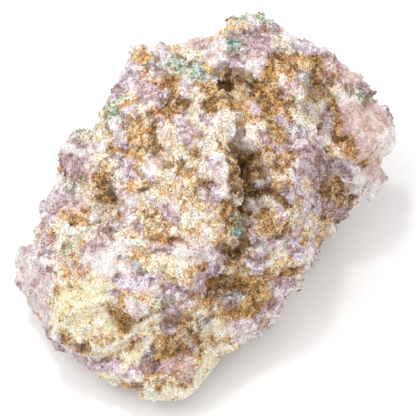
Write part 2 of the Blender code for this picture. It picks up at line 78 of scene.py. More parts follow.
# Where each mineral lies on the side that the photograph shows. A patch is half its width, then the
# places along its middle line, right and up from the middle of the view, in tenths of a millimetre.
MINERALS_SEEN = {
    "mauve mica": (
        (12, -144, 252, -124, 240, -108, 230), (6, -2, 324, -4, 314), (6, -186, 224, -192, 212),
        (5, -52, 166, -42, 158), (10, -42, 140, -24, 136), (8, 124, 362, 140, 350),
        (14, 84, 344, 96, 324, 88, 308), (14, 110, 340, 108, 316), (4, 168, 314, 184, 312),
        (7, 190, 338, 208, 328), (8, 252, 296, 258, 284), (8, 308, 244, 324, 232),
        (6, 354, 188, 366, 168), (8, 212, 126, 224, 124), (8, 108, 146, 116, 134),
        (14, -248, 96, -232, 112), (10, -268, 100, -280, 104), (10, -296, 4, -304, -14),
        (8, -312, -28, -322, -36), (8, -362, -84, -336, -86), (8, -172, 4, -162, -20),
        (9, -154, 84, -146, 66), (8, -124, 62, -110, 58), (10, -82, -10, -64, -22),
        (7, -100, -78, -78, -84), (8, -136, -32, -142, -40), (6, -120, 24, -112, 16),
        (8, -2, 26, 6, 30), (6, -2, 96, 4, 88), (8, 134, -18, 138, -28), (12, 182, 126, 196, 104),
        (6, 212, 16, 220, -8), (8, -352, -152, -336, -146), (10, -320, -132, -332, -128),
        (10, -316, -74, -312, -96), (6, -270, -110, -262, -126), (6, -236, -78, -226, -72),
        (8, -190, -168, -180, -178), (14, -308, -272, -272, -292), (12, -256, -304, -226, -316),
        (9, -154, -330, -132, -328), (12, -80, -312, -68, -308), (8, -24, -136, -18, -156),
        (8, 120, -70, 128, -82), (10, 146, -144, 160, -154), (14, -80, -164, -44, -168),
        (8, 186, 78, 194, 70), (8, -174, -308, -164, -306), (8, -78, -210, -70, -216),
        (8, 84, 368, 96, 360), (8, 184, 80, 194, 70), (6, 136, 128, 146, 120), (8, -8, 176, 2, 168),
        (9, 206, 54, 218, 48), (8, 84, 344, 108, 312), (11, -48, 178, -32, 162),
        (8, 16, -110, 26, -122), (9, 278, 34, 290, 24), (12, -12, 322, 4, 310),
    ),
    "lilac mica": (
        (7, -86, 302, -74, 296), (14, -156, 280, -148, 264, -156, 248),
        (4, -168, 190, -150, 202, -140, 208), (12, -184, 140, -168, 128), (10, -46, 242, -42, 224),
        (4, -90, 224, -84, 232), (6, -96, 208, -88, 206), (10, -60, 180, -44, 186),
        (10, -52, 164, -32, 156), (6, -268, 148, -262, 142), (5, 54, 286, 66, 292),
        (10, 176, 324, 198, 320), (10, 184, 262, 176, 248), (8, 220, 320, 238, 314),
        (7, 88, 210, 96, 194), (8, 142, 186, 148, 172), (8, -284, 84, -280, 76),
        (12, -294, 28, -316, 8), (8, -324, 12, -326, -12), (6, -348, -78, -326, -74),
        (10, -220, -48, -214, -54), (12, -166, 82, -170, 66), (6, -102, 8, -90, 2),
        (8, 146, 0, 146, -16), (10, 180, -44, 172, -60), (8, 166, 72, 182, 40, 206, 0),
        (8, 192, 4, 202, -28), (6, 200, 80, 188, 72), (7, 272, 96, 284, 84),
        (6, 208, -48, 206, -76), (20, -160, -152, -120, -148), (10, -80, -178, -62, -168),
        (10, -208, -316, -182, -310), (6, -88, -250, -72, -246), (7, 0, -120, 28, -100),
        (8, 76, -114, 98, -118), (14, 168, -82, 186, -90), (8, 210, -94, 212, -104),
        (6, 186, -112, 208, -118), (10, 166, -152, 162, -166), (8, 134, -206, 126, -230),
        (10, 62, -234, 88, -230), (7, 108, -206, 100, -220), (6, -36, -270, -22, -274),
        (6, 122, 74, 122, 56), (8, 16, 32, 26, 22), (8, -276, -280, -256, -292),
        (10, 158, 34, 170, 22), (10, -164, -152, -120, -166), (7, 64, 346, 74, 336),
        (10, 134, -160, 148, -170), (10, 230, 178, 244, 166),
    ),
    "pink mica": (
        (10, -48, 328, -30, 332, -6, 330), (6, 108, 302, 96, 300), (12, -240, 86, -224, 76),
        (10, -350, -70, -332, -60), (10, -182, 42, -174, 30), (16, 28, 70, 26, 52),
        (18, -16, -68, -32, -84), (6, 184, 16, 194, -12), (10, -136, -170, -112, -168),
        (8, -160, -196, -142, -210), (5, -180, -356, -166, -358), (12, -54, -188, -32, -188),
        (8, 92, 174, 100, 168), (8, -6, 126, 2, 118), (6, -270, 6, -264, 2), (10, -8, 126, 2, 118),
        (8, -284, -276, -240, -296), (10, -8, 322, 2, 310), (8, -292, -98, -272, -108),
        # (11, 276, 36, 292, 22) is painted light: a paler pink laid where the surface lies in
        # shade.
        (9, 88, 152, 96, 144), (8, 112, 80, 120, 72), (11, 276, 36, 292, 22),
    ),
    "plum mica": (
        (4, -132, 222, -116, 220, -102, 224), (6, -174, 234, -178, 226), (6, -168, 166, -160, 172),
        (8, -128, 208, -136, 216), (8, -106, 176, -90, 172), (10, -268, 124, -256, 120),
        (8, 50, 342, 70, 346), (6, 80, 328, 84, 312), (6, 48, 306, 58, 302),
        (5, 232, 306, 244, 304), (8, 272, 240, 284, 248), (12, -272, 76, -256, 64),
        (8, -324, -58, -310, -56), (7, -204, -46, -192, -60), (4, -202, -70, -208, -64),
        (8, 132, -56, 148, -56), (8, 156, 36, 168, 36), (12, 214, 92, 228, 108),
        (12, 256, 88, 280, 72), (10, 234, 64, 244, 72), (18, 242, -6, 266, -10),
        (10, 252, -24, 260, -16), (10, -252, -92, -244, -80), (7, -186, -138, -178, -126),
        (7, -90, -168, -76, -156), (6, -314, -244, -312, -256),
        (5, -240, -304, -214, -310, -198, -298), (12, -122, -308, -112, -320),
        (14, -82, -236, -66, -218), (7, 16, -94, 26, -86), (10, 98, -100, 116, -96),
        (8, 40, -194, 52, -188), (7, 118, -192, 124, -196), (4, -74, -190, -62, -188),
        (6, 78, 344, 100, 330), (5, 108, 316, 120, 308), (8, -128, -304, -116, -312),
        (5, 96, 348, 108, 336), (10, 232, -4, 264, -12), (12, 236, 4, 260, -16),
        (11, 230, 80, 242, 70), (8, 216, 108, 244, 96), (6, 186, 80, 192, 70),
    ),
    "blush mica": (
        (8, -150, 320, -130, 332, -106, 324, -84, 316), (8, -112, 310, -96, 304),
        (6, -44, 322, -24, 318), (10, -6, 306, 10, 316, 22, 324), (6, -124, 182, -128, 194),
        (6, -178, 152, -168, 144), (6, -116, 204, -106, 200), (8, -232, 120, -216, 122),
        (6, 84, 374, 96, 364), (8, 156, 344, 178, 338), (8, 258, 246, 266, 226),
        (10, 184, 236, 204, 232), (8, 288, 210, 274, 208), (12, 212, 148, 234, 140),
        (10, 76, 148, 92, 144), (10, -292, 52, -302, 44), (8, -248, 12, -240, 24),
        (14, -122, 80, -104, 94), (10, -156, 16, -144, 8), (10, -152, -16, -156, -28),
        (12, -168, -72, -190, -80), (10, 26, 90, 34, 80), (8, 12, 104, 22, 96),
        (10, -60, -36, -48, -48), (8, 94, -46, 90, -56), (10, -176, -90, -160, -80),
        (10, -106, -156, -116, -178), (8, -304, -248, -300, -262), (8, -180, -332, -164, -336),
        (14, -14, -72, -6, -52), (10, 48, -250, 72, -246), (8, 56, -260, 76, -264),
        # (8, 72, 128, 88, 120) is painted light: paler blush laid where the hollow's top lies in
        # shadow.
        (8, 234, 200, 238, 190), (8, 72, 128, 88, 120), (8, 138, -66, 146, -74),
        (10, -6, -90, 2, -96), (8, 64, 152, 74, 142), (8, 280, 54, 290, 46), (8, 84, 2, 98, -2),
        # (10, -178, -110, -166, -122) is painted light: paler blush laid in the shade at a block's
        # edge.
        (10, -178, -110, -166, -122), (10, -284, 124, -236, 100), (10, 64, 150, 76, 144),
        (10, -178, 8, -166, -2), (8, -156, -186, -116, -202), (10, -32, -88, -22, -98),
        (8, 42, 34, 50, 22), (12, -252, -84, -236, -100),
    ),
    "white crystal": (
        (4, -112, 270, -96, 264), (3, -90, 292, -82, 280), (6, -44, 262, -36, 276),
        (8, 10, 296, 24, 284), (5, -190, 168, -184, 172), (12, 86, 284, 102, 288),
        (9, 150, 252, 154, 260), (4, 290, 152, 318, 142), (8, -74, 8, -64, 4),
        (8, -62, -86, -52, -92), (5, 96, 54, 104, 46), (9, 30, 30, 36, 34), (8, 88, 4, 94, 2),
        (4, 94, -26, 88, -28), (4, 178, 94, 174, 86), (6, 314, 48, 318, 42),
        (5, -356, -108, -340, -104, -324, -108), (4, -360, -122, -348, -130),
        (4, -148, -198, -126, -212), (6, -64, -174, -56, -172), (6, -232, -298, -214, -298),
        (6, -156, -344, -140, -340), (9, 96, -80, 102, -82), (3, 16, -196, 16, -198),
        # (8, -80, 122, -68, 116) and (8, 208, 174, 220, 168) are painted light: white laid where
        # the surface lies in shade.
        (4, 4, -222, 6, -224), (8, 208, 174, 220, 168), (8, -80, 122, -68, 116),
        (8, -222, -20, -212, -22), (10, -202, -18, -190, -24), (7, 88, 6, 98, -2),
        (6, 100, 24, 108, 18), (8, -288, -36, -276, -52), (12, 208, 178, 220, 166),
        # (10, 86, 8, 100, -2) is painted light: white laid where the hollow's shade falls.
        (10, 86, 8, 100, -2), (10, 300, 34, 316, 22), (8, 230, 200, 242, 192),
        (8, 62, 128, 74, 120), (10, -250, -40, -238, -48), (8, -32, 248, -24, 240),
        # (12, 204, 202, 220, 190) and (12, 60, 154, 76, 142) are painted light: white laid where
        # the surface lies in shade.
        (12, 204, 202, 220, 190), (11, -12, -230, 4, -242), (12, 60, 154, 76, 142),
    ),
    "cream crust": (
        (6, -74, 296, -60, 294), (10, -50, 310, -30, 306, -14, 302), (6, -154, 220, -150, 232),
        (6, -100, 260, -112, 260), (5, -132, 196, -116, 202), (16, -80, 160, -84, 140),
        (16, -72, 124, -56, 112), (14, -20, 224, -20, 192), (10, -26, 176, -16, 170),
        (10, -236, 140, -208, 144), (8, 96, 268, 88, 262), (6, 136, 342, 150, 324),
        (16, 184, 220, 216, 200), (16, 192, 180, 220, 168), (18, 12, 156, 40, 158),
        (10, 54, 168, 28, 140), (6, 48, 136, 64, 130), (8, 88, 160, 104, 164),
        (10, 28, 186, 48, 184), (8, -264, 38, -248, 24), (5, -312, 2, -308, 8),
        (14, -294, -36, -284, -56), (12, -260, -50, -232, -46), (14, -214, -10, -190, -2),
        (10, -208, -28, -220, -28), (8, -172, -50, -154, -44), (10, -194, 86, -182, 60),
        (6, -222, 112, -210, 106), (10, -94, 74, -88, 54), (10, -144, -66, -156, -56),
        (10, -116, 32, -92, 20), (10, -12, 84, -8, 64), (14, -16, 122, 4, 120),
        (18, -32, -12, -6, -28), (8, 68, -22, 70, -34), (12, 108, 18, 118, 6),
        (10, 168, -6, 178, -20), (2, 188, 118, 212, 138), (2, 224, 84, 248, 108),
        (4, 216, -28, 238, -36, 244, -50), (6, -302, -76, -294, -86), (6, 190, -128, 180, -160),
        (5, -72, 72, -66, 90), (5, -38, 90, -30, 84), (8, -272, -70, -256, -66),
        # (8, 16, 272, 24, 264) is painted light: cream laid where a shadow falls.
        (8, -82, 100, -68, 102), (8, 16, 272, 24, 264), (8, 160, 198, 168, 190),
        (8, 206, 200, 218, 192), (8, -200, -18, -190, -24), (6, 232, 176, 242, 168),
        (10, 204, 176, 220, 166), (8, 228, 202, 240, 194), (8, -132, -114, -118, -120),
        (8, 160, 316, 168, 308), (9, 136, 320, 148, 312), (10, -130, 12, -118, 0),
    ),
    "yellow feldspar": (
        (28, -272, -176, -232, -172), (28, -276, -216, -248, -220), (8, 0, -288, 24, -300),
        (6, 66, -18, 72, -24), (12, 60, 226, 76, 212), (13, -204, -228, -188, -244),
    ),
    "sandy crust": (
        (6, -90, 318, -72, 322, -56, 316), (8, -146, 308, -148, 296), (6, 4, 342, 20, 346, 38, 350),
        (8, -222, 162, -208, 188), (10, -206, 152, -192, 144), (10, 46, 364, 70, 368),
        # (6, 94, 130, 108, 124) is painted light: sand laid where the hollow's top lies in shadow.
        (8, 234, 234, 246, 240), (12, 64, 236, 78, 232), (6, 94, 130, 108, 124),
        (10, 82, 176, 70, 168), (8, -240, 36, -232, 24), (8, -216, 100, -202, 88),
        (8, -130, 48, -116, 54), (12, -136, 2, -128, -28), (10, -96, -28, -86, -36),
        (8, -184, 8, -172, 16), (8, -28, 50, -48, 50), (12, 4, -4, -16, -48),
        (12, 22, -10, 16, -36), (8, 136, 64, 152, 56), (7, 178, 4, 186, -8), (8, 202, 40, 192, 48),
        (7, 242, 118, 268, 112), (10, 228, -56, 234, -40), (8, 200, -20, 208, -16),
        (10, -280, -108, -274, -124), (10, -264, -132, -248, -130), (8, -126, -94, -118, -98),
        (7, -90, -136, -70, -134), (10, -288, -214, -272, -216), (8, -322, -178, -310, -190),
        (6, -340, -206, -332, -220), (10, -202, -192, -182, -184), (6, -128, -256, -112, -236),
        (6, -68, -382, -60, -388), (6, 28, -122, 56, -124), (6, 160, -110, 182, -112),
        (5, 114, -226, 112, -234), (8, -38, -210, -4, -206), (8, -56, -348, -80, -344),
        (4, -40, -60, -24, -64), (10, -54, -260, -36, -256), (14, -100, -40, -84, -36),
        (8, 234, 222, 240, 210), (8, -128, 174, -116, 168), (8, 234, 220, 242, 208),
        (10, -56, 6, -44, -2), (8, 42, 128, 48, 118), (8, -78, 30, -70, 22),
        (8, -54, -42, -46, -50), (8, 68, 272, 76, 264), (8, 18, 126, 26, 118), (8, -28, 6, -20, 0),
        (8, 68, 246, 72, 238), (8, 112, 80, 120, 70), (8, 64, 222, 72, 214),
        (8, -56, -40, -44, -50), (8, 88, -40, 96, -48), (10, 228, 224, 244, 214),
        # (8, 60, 248, 74, 240) is painted light: sand laid where a block's shadow falls.
        (10, 88, 106, 100, 96), (8, 60, 248, 74, 240), (8, -276, -92, -262, -98),
        (10, -56, -18, -48, -46), (8, 40, -64, 50, -72), (9, 112, 102, 120, 96),
        # (13, 62, 248, 74, 240) is painted light: sand laid where a block's shadow falls.
        (14, 232, 224, 240, 216), (8, 40, 272, 48, 264), (13, 62, 248, 74, 240),
        # (8, 62, 106, 72, 94) is painted light: sand laid where the hollow lies in shade.
        (8, 62, 106, 72, 94), (10, 64, 10, 74, -2), (12, -154, 178, -142, 164),
        (8, -34, 224, -22, 214), (10, -156, 148, -124, 124), (11, 62, 224, 74, 214),
        # (12, 84, 106, 100, 94) is painted light: sand laid where the hollow lies in shade.
        (8, 36, 130, 48, 118), (10, -36, 32, -20, 22), (12, 84, 106, 100, 94),
    ),
    "ochre crust": (
        (10, -134, 312, -124, 302), (6, -124, 276, -130, 264), (6, -8, 284, 0, 272),
        (6, -172, 200, -152, 210, -138, 218), (12, -148, 172, -132, 164), (6, -142, 188, -130, 182),
        (13, -154, 142, -136, 144), (4, -80, 196, -54, 192), (6, -76, 180, -70, 168),
        (10, 184, 296, 200, 288), (8, 134, 268, 132, 248), (14, 64, 208, 76, 192),
        (8, 132, 140, 146, 136), (6, -322, -42, -308, -42), (6, -292, -8, -284, -16),
        (4, -180, -22, -176, -26), (8, -228, 48, -220, 66, -202, 76), (8, -158, 108, -142, 104),
        (6, -152, 48, -160, 34), (8, 16, -56, 30, -62), (7, 196, -42, 196, -64),
        (4, 272, 110, 288, 104), (6, -290, -120, -286, -140), (8, -150, -88, -142, -92),
        (4, -102, -108, -76, -112), (7, -164, -168, -144, -182, -122, -182),
        (8, -130, -190, -114, -196), (6, -302, -164, -294, -156), (6, -278, -196, -276, -198),
        (4, -266, -152, -256, -160), (5, -232, -262, -216, -266, -194, -258),
        (6, -168, -346, -158, -356), (10, -124, -342, -104, -348), (6, -68, -258, -72, -252),
        (6, -44, -144, -36, -152), (6, -28, -112, -40, -130), (6, 38, -126, 76, -126, 102, -140),
        (6, 108, -160, 116, -172), (6, 70, -200, 78, -184), (6, -24, -178, -16, -194, -4, -196),
        (6, 6, -210, 24, -214), (5, -56, -226, -26, -226), (7, 36, -254, 14, -256, 0, -272),
        (5, -2, -272, -14, -290, -22, -310), (4, 52, -272, 54, -274), (3, 70, -262, 72, -264),
        (4, -96, -350, -68, -354, -50, -360), (6, -132, 124, -120, 132), (4, 40, -264, 56, -284),
        (10, 64, 236, 76, 220), (8, -182, -200, -168, -224), (8, 136, -112, 146, -122),
        # (10, 88, 104, 98, 94) is painted light: ochre laid where the hollow lies in shade.
        (9, 60, 246, 74, 238), (10, 88, 178, 98, 166), (10, 88, 104, 98, 94),
        (11, -180, -182, -164, -194),
    ),
    "rusty crust": (
        (10, -90, 248, -72, 260, -60, 264), (10, -72, 236, -60, 228), (12, -116, 192, -96, 192),
        (10, -72, 192, -56, 186), (4, 112, 352, 118, 352), (8, 142, 312, 152, 296),
        (16, 128, 284, 152, 284), (10, 166, 272, 168, 296), (10, 120, 232, 128, 220),
        (8, 136, 208, 128, 192), (10, 126, 168, 136, 154), (8, 158, 184, 164, 172),
        (6, 110, 198, 120, 190), (4, 228, 234, 248, 220, 262, 200),
        (7, 262, 196, 256, 168, 260, 148), (10, -10, 244, 12, 234), (8, 28, 208, 44, 200),
        (10, -266, -18, -248, -10), (8, -268, -28, -244, -30), (10, -220, 54, -208, 64),
        (12, -210, 34, -208, 14), (6, -192, 70, -194, 56), (8, -190, 120, -168, 114),
        (4, -172, 116, -156, 120), (5, -140, 84, -136, 72), (8, -124, -8, -108, -18),
        (8, -96, -64, -72, -60), (10, 102, 100, 112, 112), (10, 36, 10, 32, -12),
        (8, 88, -10, 96, -18), (12, 116, -10, 120, -32), (10, 120, -42, 156, -38),
        (6, 76, -40, 80, -56), (4, 152, 80, 164, 44, 182, 12), (8, 134, 84, 144, 72),
        (10, 284, 122, 268, 130), (9, 296, 110, 316, 100), (12, 254, 56, 258, 32),
        (8, 212, -68, 224, -64), (4, -268, -98, -262, -104), (5, -252, -70, -244, -76),
        (3, -210, -192, -208, -196), (3, -276, -150, -274, -154), (16, -182, -212, -174, -240),
        (10, -158, -212, -152, -232), (4, -116, -212, -108, -204),
        (5, -184, -292, -160, -278, -142, -264), (8, -290, -256, -278, -270),
        (6, -264, -284, -244, -290), (6, -106, -356, -96, -366), (12, -76, -278, -64, -264),
        (10, -96, -296, -76, -288), (4, -68, -334, -64, -320), (8, -20, -116, -8, -108),
        (8, 54, -114, 76, -118), (8, 120, -136, 150, -128, 166, -126), (14, 52, -144, 96, -152),
        (6, 12, -184, 20, -194), (12, 46, -212, 58, -208), (12, 84, -212, 96, -208),
        (8, 94, -168, 108, -182), (5, 4, -184, 6, -204), (8, -32, -250, -20, -264),
        (10, 136, 52, 146, 44), (6, 160, 104, 164, 92), (8, 134, -20, 144, -28),
        (6, 68, -64, 72, -76), (8, 84, 100, 100, 96), (8, 138, 204, 142, 192),
        (8, 116, 276, 116, 260), (6, 42, 272, 46, 264), (8, -54, -306, -44, -310),
        (6, 160, 78, 168, 70), (8, 66, 6, 74, 0), (10, 160, 270, 168, 262), (10, 86, 60, 92, 72),
        (8, 88, 96, 100, 108), (8, 136, -16, 144, -24), (8, 64, -114, 76, -120),
        (8, 112, -160, 122, -168), (8, 160, 80, 168, 70), (6, 64, 8, 74, 0),
        (8, 112, -42, 122, -50), (8, 108, 272, 122, 262), (8, -10, -24, 2, -32),
        (8, 18, 128, 24, 118), (10, 136, 54, 146, 48), (10, -78, -256, -72, -264),
        (8, 64, 104, 70, 94), (8, 64, 6, 72, -2), (11, 136, -14, 144, -26),
        (10, -108, -256, -92, -266), (10, -58, 80, -46, 72), (11, 300, 104, 316, 96),
        (10, -200, 48, -196, 32), (12, 90, 180, 96, 166),
    ),
    "brown crust": (
        (2, -76, 284, -56, 284, -26, 286, -10, 284), (8, -106, 158, -114, 142),
        (12, -108, 124, -92, 122), (5, -90, 248, -86, 240), (3, -108, 256, -104, 252),
        (10, -86, 210, -64, 210, -40, 212), (5, -44, 216, -26, 210), (4, -30, 142, -18, 138),
        (10, 216, 296, 222, 280), (8, 210, 258, 226, 248), (8, 238, 250, 246, 248),
        (9, 36, 270, 34, 250), (10, 34, 240, 38, 222), (10, 58, 252, 74, 260),
        (12, 90, 248, 108, 240), (12, 96, 222, 116, 208), (3, 140, 236, 152, 234, 160, 220),
        (8, 164, 220, 166, 200), (8, 250, 148, 264, 140, 284, 132), (10, -10, 208, 4, 210),
        (8, -2, 194, 10, 190), (2, -292, 88, -286, 72), (3, -140, 116, -116, 118),
        (3, -132, 40, -112, 42, -96, 48), (10, -116, 136, -104, 116), (6, -84, 86, -70, 82),
        (8, -58, 76, -50, 90), (3, -100, 0, -80, 0), (6, -70, -66, -54, -60), (14, 64, 64, 70, 52),
        (16, 66, 36, 88, 26), (10, 52, 98, 68, 90), (8, 108, 36, 102, 20), (6, 112, 114, 120, 110),
        (9, -44, 78, -30, 72), (5, -36, 22, -20, 28), (8, -8, 52, 4, 48), (6, -26, 112, -18, 104),
        (12, 46, 4, 62, -6), (6, 46, -28, 42, -36), (6, 126, 40, 152, 18, 160, 6),
        (8, 230, 44, 236, 32), (9, 258, 56, 262, 22), (7, 272, 20, 288, 22),
        (6, -176, -208, -170, -240), (3, -132, -222, -108, -208, -84, -202),
        (7, -252, -272, -236, -284), (6, -144, -352, -132, -358), (12, -106, -268, -86, -274),
        (10, 50, -96, 74, -88), (4, 32, -110, 44, -102), (12, 2, -150, 22, -142),
        (6, 52, -144, 76, -146), (3, 80, -194, 104, -196), (2, -36, -244, -8, -238),
        (10, -64, -284, -44, -284), (10, 108, 72, 116, 64), (4, 230, 0, 266, -12),
        (4, 238, -22, 264, -26), (8, 46, 104, 48, 90), (10, 44, -18, 52, -28),
        (8, 88, 222, 96, 232), (6, 252, 8, 268, 2), (10, 64, -92, 76, -94),
        (10, 12, -160, 28, -166), (10, 44, -138, 56, -144), (6, 232, -18, 244, -26),
        (8, 116, 246, 120, 238), (6, 160, 224, 168, 214), (6, -200, 30, -192, 24),
        (6, -56, 80, -44, 72), (6, 18, -136, 28, -144), (8, 38, 106, 50, 94),
        (7, 180, 242, 192, 236), (8, 14, -134, 26, -146), (10, 164, 222, 166, 216),
        (10, 90, 224, 96, 214), (6, 60, 84, 64, 56), (9, 46, 102, 56, 84), (14, 160, 224, 164, 216),
        (14, 56, -144, 100, -168), (12, 88, 222, 96, 216), (10, 16, -138, 26, -146),
        (10, 138, 56, 144, 48), (11, -80, -254, -70, -266), (10, 302, 106, 316, 94),
        (11, 158, 226, 170, 214), (10, 228, 272, 244, 262),
    ),
    # Dark pits: partly black ore stain, partly painted shade that stands for the deep hollows the
    # ground evens out.
    "dark pit and shade": (
        (3, 132, 308, 136, 302), (6, 110, 210, 120, 204), (12, -200, 50, -198, 32),
        (10, -192, 22, -180, 12), (5, 48, 68, 48, 28), (2, -134, -132, -130, -132),
        (10, 36, -84, 58, -84), (4, 16, -130, 22, -134), (4, 6, -156, 2, -172), (6, 64, 10, 78, 16),
        (6, 120, 34, 124, 30), (8, 76, 84, 98, 78), (10, 38, -90, 52, -96),
        (14, -198, 48, -194, 24), (11, 40, -76, 64, -92), (9, 12, -140, 28, -142),
        (12, 12, -136, 30, -146), (10, 64, 36, 72, 24), (8, 90, 224, 96, 216),
        (11, 88, 224, 98, 214), (10, 42, 106, 50, 94), (12, 62, 36, 74, 22),
    ),
    "green crystal": (
        (6, -122, 290, -108, 296, -96, 298), (5, -76, 290, -60, 284), (7, -60, 304, -48, 296),
        (7, -72, 274, -54, 272, -36, 270), (8, -32, 262, -16, 260),
        (11, -180, 212, -192, 196, -174, 188), (7, -202, 180, -198, 164), (6, -170, 220, -176, 226),
        (9, -256, 150, -240, 156), (5, 56, 378, 78, 380), (6, 100, 374, 118, 370),
        (9, 202, 260, 196, 252), (9, 298, 230, 312, 214), (4, -288, 60, -286, 32),
        (7, 54, -16, 60, -18), (8, 66, -36, 62, -30), (9, -284, -78, -282, -88),
        (5, -296, -98, -288, -96), (5, -134, -118, -124, -122), (7, -112, -202, -100, -194),
        (10, 150, -72, 150, -64), (4, 88, 368, 98, 362), (9, 52, -12, 64, -22),
        (8, 66, -24, 72, -36),
    ),
    "teal crystal": (
        (9, -54, 292, -42, 288), (7, -32, 284, -14, 280), (6, -24, 272, -10, 268),
        (11, 56, 330, 70, 332), (9, 56, -46, 66, -46), (5, 62, -60, 70, -56),
        (9, -60, 288, -36, 282), (10, -62, 294, -30, 278), (8, 56, -42, 64, -52),
    ),
    "slate crystal": (
        (12, -114, 284, -96, 280, -84, 272), (5, -150, 184, -142, 188), (8, 70, 316, 56, 312),
        (4, 188, 196, 200, 192), (6, 242, 202, 250, 192), (6, 242, 176, 238, 156),
        (12, 164, 154, 184, 154), (6, 164, 132, 170, 122), (8, -4, 262, 12, 260),
        (6, -282, 64, -280, 44), (8, -268, 44, -258, 16), (10, -188, -30, -172, -36),
        (5, -182, 104, -174, 104), (6, -148, -110, -140, -114), (6, -124, -284, -116, -280),
        (6, 94, -68, 110, -70), (8, 26, -180, 56, -180), (7, -18, -226, -2, -224),
        (9, -110, 288, -94, 276),
    ),
    "grey quartz": (
        (20, -362, -108, -364, -152), (18, -328, -140, -328, -184), (14, -360, -184, -340, -208),
        (12, -320, -208, -324, -224),
    ),
    "rose mica": (
        (10, 240, 282, 242, 266), (10, 162, 242, 156, 228), (12, 308, 112, 328, 96),
        (16, -50, -300, -36, -316), (14, -60, -332, -40, -340), (8, -6, -60, -16, -78),
        (9, -60, -66, -44, -70), (6, -4, -22, 6, -34), (10, 188, 244, 196, 236),
        (8, 258, 248, 266, 236), (8, 184, 248, 196, 240), (8, 160, 248, 170, 238),
        (8, 228, 270, 242, 262), (10, -80, -316, -36, -328), (10, 276, 186, 324, 160),
        (11, 90, 180, 96, 164), (10, 136, -18, 144, -24), (12, -76, -308, -40, -332),
        (12, -288, -108, -252, -132), (8, -124, 240, -110, 228),
    ),
    "pale feldspar": (
        (6, -306, -102, -296, -116), (14, -96, -108, -74, -116), (16, -220, -200, -220, -232),
        (14, -260, -244, -236, -246), (6, -200, -164, -208, -184),
        (8, -222, -280, -204, -288, -176, -276),
        (7, -176, -274, -148, -250, -122, -228, -100, -216), (10, -168, -312, -144, -298),
        (9, -136, -284, -120, -264, -104, -246), (12, -224, -334, -196, -342),
        (14, -120, -366, -80, -376), (16, -62, -108, -48, -124), (10, 126, -96, 134, -110),
        (8, 144, -100, 156, -92), (4, 176, -104, 196, -100), (12, 14, -228, 26, -242),
        (8, -28, -242, -4, -248), (16, 36, -280, 14, -288), (12, -4, -328, 8, -308),
        (14, -64, -368, -36, -366), (10, -16, -340, -28, -380), (6, -30, -210, -20, -212),
        (14, 208, 192, 220, 168), (8, 232, 220, 240, 214), (7, -210, -290, -154, -284),
        (10, -4, -278, 32, -296), (8, -294, -128, -290, -148), (10, -200, -158, -192, -172),
        # (8, 88, 104, 98, 94) is painted light: pale feldspar laid where the hollow lies in shadow.
        (8, 88, 104, 98, 94), (8, -154, -230, -142, -242),
    ),
    "glassy rose": (
        (10, 274, 272, 292, 256), (20, 284, 192, 308, 172, 292, 156), (18, 320, 184, 332, 160),
        (14, 328, 140, 308, 136), (10, 340, 72, 324, 80), (6, 348, 64, 344, 52),
        (10, 356, 176, 358, 164),
    ),
    "glassy blush": (
        (10, 360, 160, 356, 124), (12, 340, 124, 352, 116), (7, 362, 144, 364, 132),
        (16, 306, 52, 302, 28), (12, 332, 44, 320, 24), (20, -220, -108, -196, -104),
        (14, -216, -136, -194, -130), (12, -58, -80, -40, -88), (10, 292, 68, 308, 32),
    ),
}

# Each mineral's colours: the main one, that of its bright grains and that of its dark grains.
TINTS = {
    "mauve mica": ((0.42, 0.245, 0.275), (0.74, 0.59, 0.63), (0.26, 0.135, 0.15)),
    "lilac mica": ((0.585, 0.465, 0.57), (0.86, 0.79, 0.85), (0.38, 0.26, 0.31)),
    "pink mica": ((0.66, 0.45, 0.41), (0.88, 0.74, 0.70), (0.42, 0.23, 0.19)),
    "rose mica": ((0.60, 0.38, 0.31), (0.80, 0.60, 0.52), (0.38, 0.18, 0.12)),
    "plum mica": ((0.20, 0.115, 0.09), (0.50, 0.36, 0.38), (0.12, 0.06, 0.05)),
    "blush mica": ((0.82, 0.70, 0.66), (0.90, 0.85, 0.82), (0.58, 0.42, 0.38)),
    "glassy rose": ((0.505, 0.32, 0.29), (0.70, 0.53, 0.49), (0.42, 0.24, 0.21)),
    "glassy blush": ((0.82, 0.70, 0.66), (0.88, 0.81, 0.78), (0.62, 0.50, 0.46)),
    "white crystal": ((0.85, 0.79, 0.75), (0.90, 0.88, 0.86), (0.60, 0.50, 0.46)),
    "cream crust": ((0.90, 0.81, 0.62), (0.92, 0.87, 0.72), (0.66, 0.44, 0.22)),
    "yellow feldspar": ((0.88, 0.73, 0.41), (0.90, 0.83, 0.63), (0.74, 0.53, 0.25)),
    "pale feldspar": ((0.91, 0.80, 0.58), (0.92, 0.86, 0.70), (0.78, 0.58, 0.33)),
    "sandy crust": ((0.76, 0.51, 0.28), (0.92, 0.79, 0.56), (0.42, 0.21, 0.09)),
    "ochre crust": ((0.71, 0.355, 0.11), (0.90, 0.64, 0.31), (0.34, 0.14, 0.035)),
    "rusty crust": ((0.46, 0.195, 0.045), (0.72, 0.42, 0.16), (0.16, 0.065, 0.018)),
    "brown crust": ((0.25, 0.117, 0.03), (0.55, 0.32, 0.12), (0.06, 0.03, 0.011)),
    # The dark pit's near-black colours are partly painted shade.
    "dark pit and shade": ((0.08, 0.04, 0.015), (0.26, 0.14, 0.055), (0.022, 0.012, 0.007)),
    "green crystal": ((0.34, 0.50, 0.34), (0.64, 0.70, 0.50), (0.10, 0.16, 0.09)),
    "teal crystal": ((0.15, 0.41, 0.33), (0.58, 0.77, 0.68), (0.06, 0.15, 0.12)),
    "slate crystal": ((0.36, 0.34, 0.33), (0.70, 0.68, 0.66), (0.16, 0.135, 0.12)),
    "grey quartz": ((0.58, 0.48, 0.45), (0.80, 0.73, 0.71), (0.42, 0.33, 0.30)),
}
NAMES = list(TINTS)
NUMBER = {name: number for number, name in enumerate(NAMES)}
PATCHES = [
    (NUMBER[name], half_width / 10, np.reshape(line, (-1, 2)) / 10)
    for name, patches in MINERALS_SEEN.items()
    for half_width, *line in patches
]
# A patch reaches this far past its edge where nothing else lies, and its rim is a little soft.
PATCH_REACH = 2.5
PATCH_RIM = 0.16

